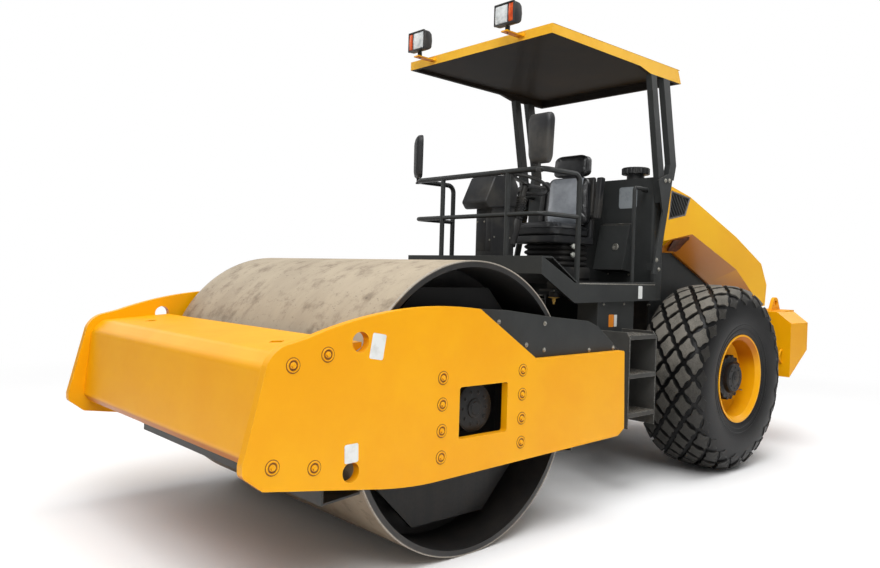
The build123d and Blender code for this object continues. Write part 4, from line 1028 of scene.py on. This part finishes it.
def upright_pad(depths, low, high, half_low, half_high, corner):
    """Block for a back pad: rounded outlines across the back, stepped forward in depth."""
    bm = bmesh.new()
    rings = []
    for depth, inset in depths:
        ring = []
        for u, v in tray(1.0, 1.0, corner):
            z = (low + high) / 2 + v * ((high - low) / 2 - inset)
            half = half_low + (half_high - half_low) * (v + 1) / 2 - inset
            ring.append(bm.verts.new(lean(depth, z, u * half)))
        rings.append(ring)
    join_rings(bm, rings)
    bm.faces.new(rings[0])
    bm.faces.new(rings[-1])
    return bm, [v.co.copy() for v in rings[-2]]


bm, seam = upright_pad(((0.002, 0.012), (0.016, 0.0), (0.060, 0.0), (0.085, 0.022)), 1.950, 2.335, 0.222,
    0.196, 0.30)
cushion(
    "seat_back", bm, pale_vinyl, lambda p: p.x < lean(0.018, p.z, 0).x or abs(
        p.x - lean(0.060, p.z, 0).x) < 0.006,
    0.014,
)
piping(piping_bm, seam)
bm, seam = upright_pad(((-0.034, 0.014), (-0.022, 0.0), (0.040, 0.0), (0.062, 0.018)), 2.348, 2.522, 0.170,
    0.162, 0.45)
cushion(
    "head_pad", bm, black_vinyl, lambda p: p.x < lean(-0.020, p.z, 0).x or abs(
        p.x - lean(0.040, p.z, 0).x) < 0.006,
    0.010, 0.006,
)
piping(piping_bm, seam)
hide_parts("seat_pads")
hand_over("seat_piping", piping_bm, black_vinyl, "rear_frame", 60)
bm = bmesh.new()
for y in (-0.055, 0.055):
    lathe(bm, [(0.0, 0.10), (0.006, 0.10), (0.006, -0.06), (0, -0.06)],
        Matrix.Translation(lean(-0.005, 2.330, y)), 12)
hand_over("head_pad_stems", bm, chrome, "rear_frame")

# Tank fittings: a lobed filler cap with a domed top, a blank data plate, a latch and a clip on the tool
# box.
bm = bmesh.new()
cap_at = Vector((-0.823, 0.430, 2.365))
around = 160
rings = []
for radius, lobe, z in ((0.070, 0, -0.040), (0.070, 0, 0.0), (0.108, 1, 0.0005), (0.112, 1, 0.004),
    (0.112, 1, 0.046),
                        (0.104, 0.4, 0.054), (0.060, 0, 0.058), (0.054, 0, 0.0545), (0.012, 0, 0.0545)):
    ring = []
    for k in range(around):
        a = math.tau * k / around
        dip = 0.0055 * lobe * max(0.0, math.cos(20 * a)) ** 0.5
        ring.append(bm.verts.new(cap_at + Vector(((radius - dip) * math.cos(a),
            (radius - dip) * math.sin(a), z))))
    rings.append(ring)
join_rings(bm, rings)
bm.faces.new(rings[-1])
cap = hand_over("filler_cap", bm, plastic, "rear_frame")
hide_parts("tank_cap")
sticker("tank_plate", "grey", (-0.7478, 0.415, 2.175), (1, 0, 0), (0, 1, 0), (0.170, 0.172), "rear_frame")
bm = bmesh.new()
latch = facing((-0.6435, 0.380, 1.772), (0.97, 0, 0.243))
lathe(bm, [(0, 0.002), (0.010, 0.002), (0.012, 0.005), (0.026, 0.006), (0.030, 0.002), (0.031, -0.002)],
    latch, 28)
prism(bm, [(-0.746, 1.966), (-0.700, 1.966), (-0.698, 1.958), (-0.746, 1.955)], 0.36, 0.40, 0.002, 2)
for y, z in ((0.245, 1.557), (0.444, 1.554)):
    hex_bolt(bm, (-0.748, y, z), (1, 0, 0), 0.007, 0.0095)
hand_over("tank_fittings", bm, zinc, "rear_frame")

# Canopy frame bolts: through the bent bracket plates into the tank's flanks, beside an empty slot.
for side_name, side in (("left", 1), ("right", -1)):
    bm = bmesh.new()
    for x, z in ((-0.776, 2.294), (-0.686, 1.671), (-0.833, 2.300), (-0.720, 1.600)):
        hex_bolt(bm, (x, side * 0.735, z), (0, side, 0), 0.012, 0.017)
    hand_over(f"bracket_bolts_{side_name}", bm, zinc, "rear_frame")

# Canopy roof: a pressed steel tray, pale yellow on its fascia and top, nearly black and dull underneath.
# Drip beads run along its sides.
roof = Surface("roof_paint", Coat_Weight=0.05, Coat_Roughness=0.2, IOR=1.48, Specular_IOR_Level=0.2)
roof_cloud = roof.noise(2.4, 5, 0.6)
roof_speck = roof.noise(70, 4, 0.7)
roof_up = roof.add("SeparateXYZ", Vector=roof.add("NewGeometry").out("Normal")).out("Z")
roof_top = roof.mix(roof_cloud.ramp(0.3, 0.7), colour(240, 186, 60), colour(228, 170, 44))
roof_top = roof.mix(roof_speck.ramp(0.62, 0.8) * 0.25, roof_top, dust_colour)
roof_under = roof.mix(roof_cloud.ramp(0.35, 0.7), colour(22, 18, 14), colour(36, 29, 22))
roof_place = roof.add("SeparateXYZ", Vector=roof.place())
tray_inside = (
    (roof_place.out("Y").math("ABSOLUTE").ramp(0.694, 0.691) * (roof_place.out("X") + 0.175).math(
        "ABSOLUTE").ramp(
        0.779, 0.776)) * roof_place.out("Z").ramp(3.152, 3.148)
)
inner_face = roof_up.ramp(-0.5, -0.75).math("MAXIMUM", tray_inside)
roof.finish(
    Base_Color=roof.mix(inner_face, roof_top, roof_under),
    Roughness=roof_cloud * 0.12 + 0.36 + inner_face * 0.35,
)
roof.bump(roof_speck, 0.0006, 0.4)
coat(roof, "canopy_roof")
bm = bmesh.new()
for y in (-0.716, 0.716):
    prism(bm, [(-0.955, 3.192), (-0.955, 3.186), (0.622, 3.186), (0.622, 3.192)], y - 0.004, y + 0.004,
        0.0015, 2)
hand_over("roof_beads", bm, roof, "rear_frame")

# Work lamps: black moulded housings on steel arms, each with a ribbed back, a clear square lens over a
# bright bowl and an orange side lens.
amber = Surface("amber_lens", Roughness=0.12, IOR=1.5, Coat_Weight=0.5, Coat_Roughness=0.05)
amber.finish(Base_Color=amber.mix(amber.noise(24, 3).ramp(0.3, 0.7), colour(226, 92, 24),
    colour(186, 62, 16)))
amber.bump(amber.noise(160, 2), 0.0006, 0.5, round_edges=0.001)
housing_bm, lens_bm, amber_bm, rim_bm, arm_bm, foot_bm = (bmesh.new() for _ in range(6))
for y in (0.450, -0.450):
    outer = 1 if y > 0 else -1
    prism(foot_bm, [(0.628, 3.148), (0.806, 3.148), (0.806, 3.158), (0.640, 3.158), (0.636, 3.176),
        (0.628, 3.176)],
          y - 0.028, y + 0.028, 0.002, 2)
    hex_bolt(foot_bm, (0.636, y - 0.014, 3.168), (1, 0, 0), 0.005, 0.0065)
    prism(arm_bm, [(0.760, 3.159), (0.780, 3.159), (0.780, 3.192), (0.760, 3.192)], y - 0.015, y + 0.015,
        0.002, 2)
    hex_bolt(arm_bm, (0.770, y, 3.150), (0, 0, -1), 0.008, 0.012)
    low, high = y - 0.090 * 1, y + 0.090 * 1
    prism(
        housing_bm, [(0.728, 3.215), (0.722, 3.265), (0.728, 3.318), (0.752, 3.336), (0.802, 3.338),
                     (0.802, 3.193), (0.752, 3.196)], low, high, 0.012, 4,
    )
    for k in range(5):
        rib = y - 0.060 + 0.030 * k
        prism(housing_bm, [(0.7205, 3.220), (0.7205, 3.312), (0.735, 3.322), (0.735, 3.210)], rib - 0.003,
            rib + 0.003,
              0.001, 1)
    split = y + outer * 0.036
    inner_low, inner_high = sorted((y - outer * 0.080, split - outer * 0.003))
    outer_low, outer_high = sorted((split + outer * 0.003, y + outer * 0.082))
    prism(lens_bm, [(0.800, 3.204), (0.800, 3.328), (0.8095, 3.325), (0.8115, 3.266), (0.8095, 3.207)],
          inner_low, inner_high, 0.003, 3)
    prism(amber_bm, [(0.800, 3.204), (0.800, 3.328), (0.8095, 3.325), (0.8115, 3.266), (0.8095, 3.207)],
          outer_low, outer_high, 0.003, 3)
    for low_z, high_z in ((3.194, 3.203), (3.329, 3.338)):
        prism(rim_bm, [(0.800, low_z), (0.800, high_z), (0.814, high_z), (0.814, low_z)], low + 0.002,
            high - 0.002,
              0.002, 2)
    for edge in (y - 0.0855, split, y + 0.0855):
        prism(rim_bm, [(0.800, 3.200), (0.800, 3.332), (0.8138, 3.332), (0.8138, 3.200)], edge - 0.003,
            edge + 0.003,
              0.001, 1)
lamp_body = hand_over("lamp_housings", housing_bm, plastic, "rear_frame")
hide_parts("work_lamps")
hand_over("lamp_feet", foot_bm, yellow, "rear_frame")
hand_over("lamp_arms", arm_bm, dark, "rear_frame")
hand_over("lamp_frames", rim_bm, plastic, "rear_frame")
hand_over("lamp_lenses", lens_bm, glass, "rear_frame")
hand_over("lamp_ambers", amber_bm, amber, "rear_frame")

# Mirrors: rounded black shells on short bent stalks clamped to the rail. The glass faces the seat.
mirror_glass = Surface("mirror_glass", Metallic=1.0, Roughness=0.03)
mirror_glass.finish(Base_Color=mirror_glass.mix(
    mirror_glass.noise(18, 3).ramp(0.5, 0.85) * 0.3, colour(220, 224, 226), colour(160, 160, 156)
))
mirror_glass.bump(mirror_glass.noise(6, 2), 0.0003, 0.2, round_edges=0)
shell_bm, glass_bm, stalk_bm = bmesh.new(), bmesh.new(), bmesh.new()
for foot, turn in (((0.597, 0.618), 0), ((0.527, -0.718), -35)):
    at = Matrix.Translation((*foot, 2.449)) @ Matrix.Rotation(math.radians(turn), 4, "Z")
    rings = []
    for x, grow in ((-0.029, 0.955), (-0.026, 0.990), (-0.017, 1.0), (0.007, 0.975), (0.021, 0.90),
        (0.0292, 0.72)):
        rings.append([
            shell_bm.verts.new(at @ Vector((x, u * 0.105 * (0.93 + 0.07 * v) * grow, v * 0.170 * grow)))
            for u, v in tray(1.0, 1.0, 0.36, 7)
        ])
    join_rings(shell_bm, rings)
    shell_bm.faces.new(rings[-1])
    shell_bm.faces.new(rings[0])
    pane = []
    for x, grow in ((-0.0295, 0.93), (-0.0302, 0.925)):
        pane.append([
            glass_bm.verts.new(at @ Vector((x, u * 0.105 * (0.93 + 0.07 * v) * grow, v * 0.170 * grow)))
            for u, v in tray(1.0, 1.0, 0.36, 7)
        ])
    join_rings(glass_bm, pane)
    glass_bm.faces.new(pane[1])
    lathe(stalk_bm, [(0, 0.060), (0.009, 0.060), (0.010, 0.055), (0.010, 0.004), (0.016, 0.002),
        (0.017, -0.010)],
          Matrix.Translation((*foot, 2.245)), 16)
    if turn:
        lathe(stalk_bm, [(0, -0.002), (0.0102, -0.001), (0.0102, 0.054), (0, 0.060)],
              facing((foot[0], -0.666, 2.245), (0, -1, 0)), 16)
    else:
        prism(stalk_bm, [(0.572, 2.222), (0.622, 2.222), (0.622, 2.250), (0.572, 2.250)], foot[1] - 0.014,
              foot[1] + 0.014, 0.006, 3)
mirror_shell = hand_over("mirror_shells", shell_bm, plastic, "rear_frame", 40)
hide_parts("mirrors")
hand_over("mirror_panes", glass_bm, mirror_glass, "rear_frame")
hand_over("mirror_stalks", stalk_bm, plastic, "rear_frame")

# Hood: one glass-fibre moulding in the same orange-yellow, glossier than the steel, with a lifting handle
# at its tail. The framed grilles are black plastic.
# The fourth colour is the painted shade for faces that turn downwards.
hood_paint = painted(
    "hood_paint", colour(250, 188, 10), colour(246, 178, 6), colour(252, 210, 90), colour(166, 80, 2),
    rough=0.3,
    dust=0.05, coat=0.4,
)
coat(hood_paint, "hood")
coat(plastic, "hood_grilles")
bm = bmesh.new()
tail_normal = Vector((-0.993, 0, 0.115))
for y in (-0.09, 0.09):
    lathe(bm, [(0, 0.020), (0.010, 0.020), (0.013, 0.016), (0.013, 0.002), (0.020, 0.0), (0.021, -0.003)],
          facing((-2.6215, y, 1.345), tail_normal), 18)
prism(bm, [(-2.642, 1.337), (-2.636, 1.337), (-2.636, 1.353), (-2.642, 1.353)], -0.105, 0.105, 0.0028, 3)
hand_over("hood_handle", bm, zinc, "hood")

# Hood vent: a pressed mesh insert under the front of the flank, sprayed with the hood; its mottled dark
# brown is painted shade of the undercut it sits in.
# Painted shade: the mesh is coloured a mottled dark brown for the undercut's shade.
vent_mesh = Surface("vent_mesh", IOR=1.45)
vent_cloud = vent_mesh.noise(18, 4, 0.65)
vent_mesh.finish(
    Base_Color=vent_mesh.mix(vent_cloud.ramp(0.35, 0.7), colour(92, 34, 10), colour(38, 18, 10)),
    Roughness=vent_cloud * 0.2 + 0.45,
)
vent_mesh.bump(vent_mesh.noise(240, 2), 0.0015, 0.7, round_edges=0)
vent_loop = [Vector(p) for p in ((-0.956, 0.701, 1.840), (-1.231, 0.700, 1.886), (-1.332, 0.673, 1.817),
                                 (-1.195, 0.589, 1.753), (-1.002, 0.603, 1.762))]
vent_out = (vent_loop[1] - vent_loop[0]).cross(vent_loop[3] - vent_loop[0]).normalized()
vent_out *= math.copysign(1.0, vent_out.y)
vent_mid = sum(vent_loop, Vector()) / 5
for side_name, side in (("left", 1), ("right", -1)):
    bm = bmesh.new()
    rings = []
    for grow, lift in ((0.90, -0.004), (0.90, 0.003), (0.84, 0.004), (0.80, 0.001)):
        rings.append([])
        for point in vent_loop:
            place = vent_mid + (point - vent_mid) * grow
            place -= vent_out * (place - vent_mid).dot(vent_out)
            place += vent_out * lift
            rings[-1].append(bm.verts.new((place.x, side * place.y, place.z)))
    join_rings(bm, rings)
    bm.faces.new(rings[-1])
    hand_over(f"hood_vent_{side_name}", bm, vent_mesh, "hood")

# Grilles: a grey bead round each flank grille, and a fine black screen of pressed slats behind its louvres.
mesh_grey = Surface("grille_frame", IOR=1.5)
mesh_speck = mesh_grey.noise(90, 3, 0.6)
mesh_grey.finish(
    Base_Color=mesh_grey.mix(mesh_speck.ramp(0.35, 0.7), colour(118, 112, 112), colour(88, 84, 84)),
    Roughness=mesh_speck * 0.2 + 0.45,
)
mesh_grey.bump(mesh_speck, 0.0004, 0.4, round_edges=0.001)
grille_corners = [(axle_x + x, z) for x, z in ((0.470, 2.232), (0.173, 2.196), (0.245, 2.046),
    (0.500, 1.996),
                                               (0.484, 2.110))]
centre_x = sum(x for x, _ in grille_corners) / 5
centre_z = sum(z for _, z in grille_corners) / 5
for side_name, side in (("left", 1), ("right", -1)):
    bm = bmesh.new()
    rings = []
    for y, grow in ((0.7115, 0.985), (0.7135, 0.975), (0.7135, 0.905), (0.7100, 0.895)):
        rings.append([
            bm.verts.new((centre_x + (x - centre_x) * grow, side * y, centre_z + (z - centre_z) * grow))
            for x, z in grille_corners
        ])
    join_rings(bm, rings)
    hand_over(f"grille_trim_{side_name}", bm, mesh_grey, "hood")
    bm = bmesh.new()
    mesh_bars = 46
    for k in range(mesh_bars):
        z = 1.999 + 0.005 * k
        crossings = sorted(
            x0 + (x1 - x0) * (z - z0) / (z1 - z0)
            for (x0, z0), (x1, z1) in zip(grille_corners, grille_corners[1:] + grille_corners[:1])
            if (z0 - z) * (z1 - z) < 0
        )
        if len(crossings) >= 2:
            first, last = crossings[0] + 0.006, crossings[-1] - 0.006
            bar = [bm.verts.new((x, side * y, z + drop)) for x, y, drop in (
                (first, 0.6986, -0.0026), (last, 0.6986, -0.0026), (last, 0.7000, 0.0),
                (first, 0.7000, 0.0),
                (first, 0.6986, 0.0026), (last, 0.6986, 0.0026),
            )]
            bm.faces.new(bar[0:4])
            bm.faces.new((bar[3], bar[2], bar[5], bar[4]))
    hand_over(f"grille_screen_{side_name}", bm, grease_black_and_shade, "hood")

# Counterweight: cast, painted with the frame, with tie-down loops of bent bar under its shoulders and bolt
# heads on its back.
for side_name, side in (("left", 1), ("right", -1)):
    bm = bmesh.new()
    ring_turns = 18
    path = []
    for k in range(ring_turns + 1):
        a = math.pi * k / ring_turns
        path.append(Vector((-2.650 + 0.046 * math.sin(a), side * 0.868, 0.835 + 0.058 * math.cos(a))))
    path = [Vector((-2.665, side * 0.868, 0.893))] + path + [Vector((-2.665, side * 0.868, 0.777))]
    rings = []
    for k, point in enumerate(path):
        ahead_dir = (path[min(k + 1, len(path) - 1)] - path[max(k - 1, 0)]).normalized()
        section = facing(point, ahead_dir)
        rings.append([
            bm.verts.new(section @ Vector((0.0105 * math.cos(a), 0.0105 * math.sin(a), 0)))
            for a in [math.tau * j / 12 for j in range(12)]
        ])
    join_rings(bm, rings)
    for y, z in ((0.62, 0.98), (0.62, 0.80), (0.30, 0.98), (0.30, 0.80)):
        hex_bolt(bm, (-3.0155, side * y, z), (-1, 0, 0), 0.008, 0.011)
    hand_over(f"weight_fittings_{side_name}", bm, yellow, "rear_frame")

# Rear lamps: red lenses with moulded ribs in black frames, each frame split by a bar near its inner end.
red_lens = Surface("red_lens", Roughness=0.14, IOR=1.5, Coat_Weight=0.5, Coat_Roughness=0.05)
red_lens.finish(Base_Color=red_lens.mix(red_lens.noise(30, 3).ramp(0.3, 0.7), colour(170, 18, 14),
    colour(126, 10, 8)))
red_lens.bump(red_lens.add("TexWave", {"bands_direction": "Z"}, Vector=red_lens.place(), Scale=40.0),
    0.0008, 0.6,
              round_edges=0.001)
coat(red_lens, "rear_lamps")
bm = bmesh.new()
for y in (0.720, -0.720):
    for low_z, high_z in ((1.0405, 1.0475), (1.1335, 1.1405)):
        prism(bm, [(-3.0155, low_z), (-3.0155, high_z), (-3.0290, high_z), (-3.0290, low_z)], y - 0.098,
            y + 0.098,
              0.002, 2)
    for edge in (y - 0.0975, y + 0.0975, y + (-0.040 if y > 0 else 0.040)):
        prism(bm, [(-3.0155, 1.041), (-3.0155, 1.140), (-3.0290, 1.140), (-3.0290, 1.041)], edge - 0.0035,
              edge + 0.0035, 0.001, 2)
hand_over("rear_lamp_frames", bm, plastic, "rear_frame")

# Engine: a cast block under the hood, dark and oily.
iron = Surface("cast_iron", IOR=1.6)
iron_cloud = iron.noise(4, 6, 0.7)
iron_grain = iron.noise(90, 4, 0.7)
iron.finish(
    Base_Color=iron.mix(iron_cloud.ramp(0.35, 0.7), colour(44, 42, 40), colour(70, 62, 54)),
    Metallic=0.35, Roughness=iron_grain * 0.3 + 0.45,
)
iron.bump(iron_grain, 0.0015, 0.6)
coat(iron, "engine_block")

# Camera: at the photograph's place, 1.53 m up and ahead of the machine's left front corner.
view_point = Vector((4.563, 4.004, 1.531))
yaw, pitch, roll = math.radians(-132.4), math.radians(-0.9), math.radians(1.64)
forward = Vector((math.cos(pitch) * math.cos(yaw), math.cos(pitch) * math.sin(yaw), math.sin(pitch)))
right = Vector((math.sin(yaw), -math.cos(yaw), 0))
upward = right.cross(forward)
rolled_right = math.cos(roll) * right + math.sin(roll) * upward
rolled_up = math.cos(roll) * upward - math.sin(roll) * right
camera = bpy.data.objects.new("camera", bpy.data.cameras.new("camera"))
camera.data.lens = 31.43
camera.data.sensor_width = 36
camera.data.sensor_fit = "HORIZONTAL"
camera.matrix_world = Matrix((
    (rolled_right.x, rolled_up.x, -forward.x, view_point.x),
    (rolled_right.y, rolled_up.y, -forward.y, view_point.y),
    (rolled_right.z, rolled_up.z, -forward.z, view_point.z),
    (0, 0, 0, 1),
))
bpy.context.scene.collection.objects.link(camera)
bpy.context.scene.camera = camera

# Floor and light: a pale floor that fades into a white room, broad soft lamps overhead and in front of the
# machine's left side, and weaker ones from the right and from behind.
floor_surface = Surface("floor", Roughness=0.9)
floor_surface.finish(Base_Color=floor_surface.mix(
    floor_surface.noise(0.8, 2) * 0.3, colour(252, 252, 252), colour(246, 246, 246)
))
away = floor_surface.add("VectorMath", {"operation": "LENGTH"}, Vector=floor_surface.place()).out("Value")
white = floor_surface.add("Emission", Color=(1, 1, 1, 1), Strength=1.0)
blend = floor_surface.add("MixShader", Fac=away.ramp(3.6, 9.0) * floor_surface.add("LightPath").out(
    "Is Camera Ray"))
floor_surface.plug(blend.socket.node.inputs[1], Field(floor_surface, floor_surface.shader.outputs[0]))
floor_surface.plug(blend.socket.node.inputs[2], white)
floor_surface.plug(floor_surface.nodes["Material Output"].inputs["Surface"], blend)
bm = bmesh.new()
bmesh.ops.create_grid(bm, x_segments=8, y_segments=8, size=60)
floor_mesh = bpy.data.meshes.new("floor")
bm.to_mesh(floor_mesh)
bm.free()
floor_mesh.materials.append(floor_surface.material)
floor = bpy.data.objects.new("floor", floor_mesh)
floor.location = (0, 0, -0.0005)
bpy.context.scene.collection.objects.link(floor)

world = bpy.data.worlds.new("studio")
bpy.context.scene.world = world
world.use_nodes = True
room = world.node_tree.nodes["Background"]
room.inputs["Color"].default_value = (1, 1, 1, 1)
room.inputs["Strength"].default_value = 0.30
seen = world.node_tree.nodes.new("ShaderNodeBackground")
seen.inputs["Strength"].default_value = 1.0
seen.inputs["Color"].default_value = (1, 1, 1, 1)
rays = world.node_tree.nodes.new("ShaderNodeLightPath")
either = world.node_tree.nodes.new("ShaderNodeMixShader")
world.node_tree.links.new(rays.outputs["Is Camera Ray"], either.inputs[0])
world.node_tree.links.new(room.outputs[0], either.inputs[1])
world.node_tree.links.new(seen.outputs[0], either.inputs[2])
world.node_tree.links.new(either.outputs[0], world.node_tree.nodes["World Output"].inputs[0])
for lamp_name, place, aim, size, power in (
    ("key", (5.5, 5.0, 8.5), (0, 0, 1.0), 6.0, 570),
    ("top", (0.5, 0.8, 9.5), (0.3, 0.2, 1.0), 7.0, 700),
    ("fill", (3.0, -8.0, 5.0), (0, 0, 1.0), 6.0, 120),
    ("back", (-8.0, 2.0, 6.5), (0, 0, 1.2), 6.0, 200),
):
    lamp = bpy.data.objects.new(lamp_name, bpy.data.lights.new(lamp_name, "AREA"))
    lamp.data.size = size
    lamp.data.energy = power
    lamp.matrix_world = facing(place, Vector(place) - Vector(aim))
    bpy.context.scene.collection.objects.link(lamp)
bpy.context.scene.view_settings.view_transform = "Standard"
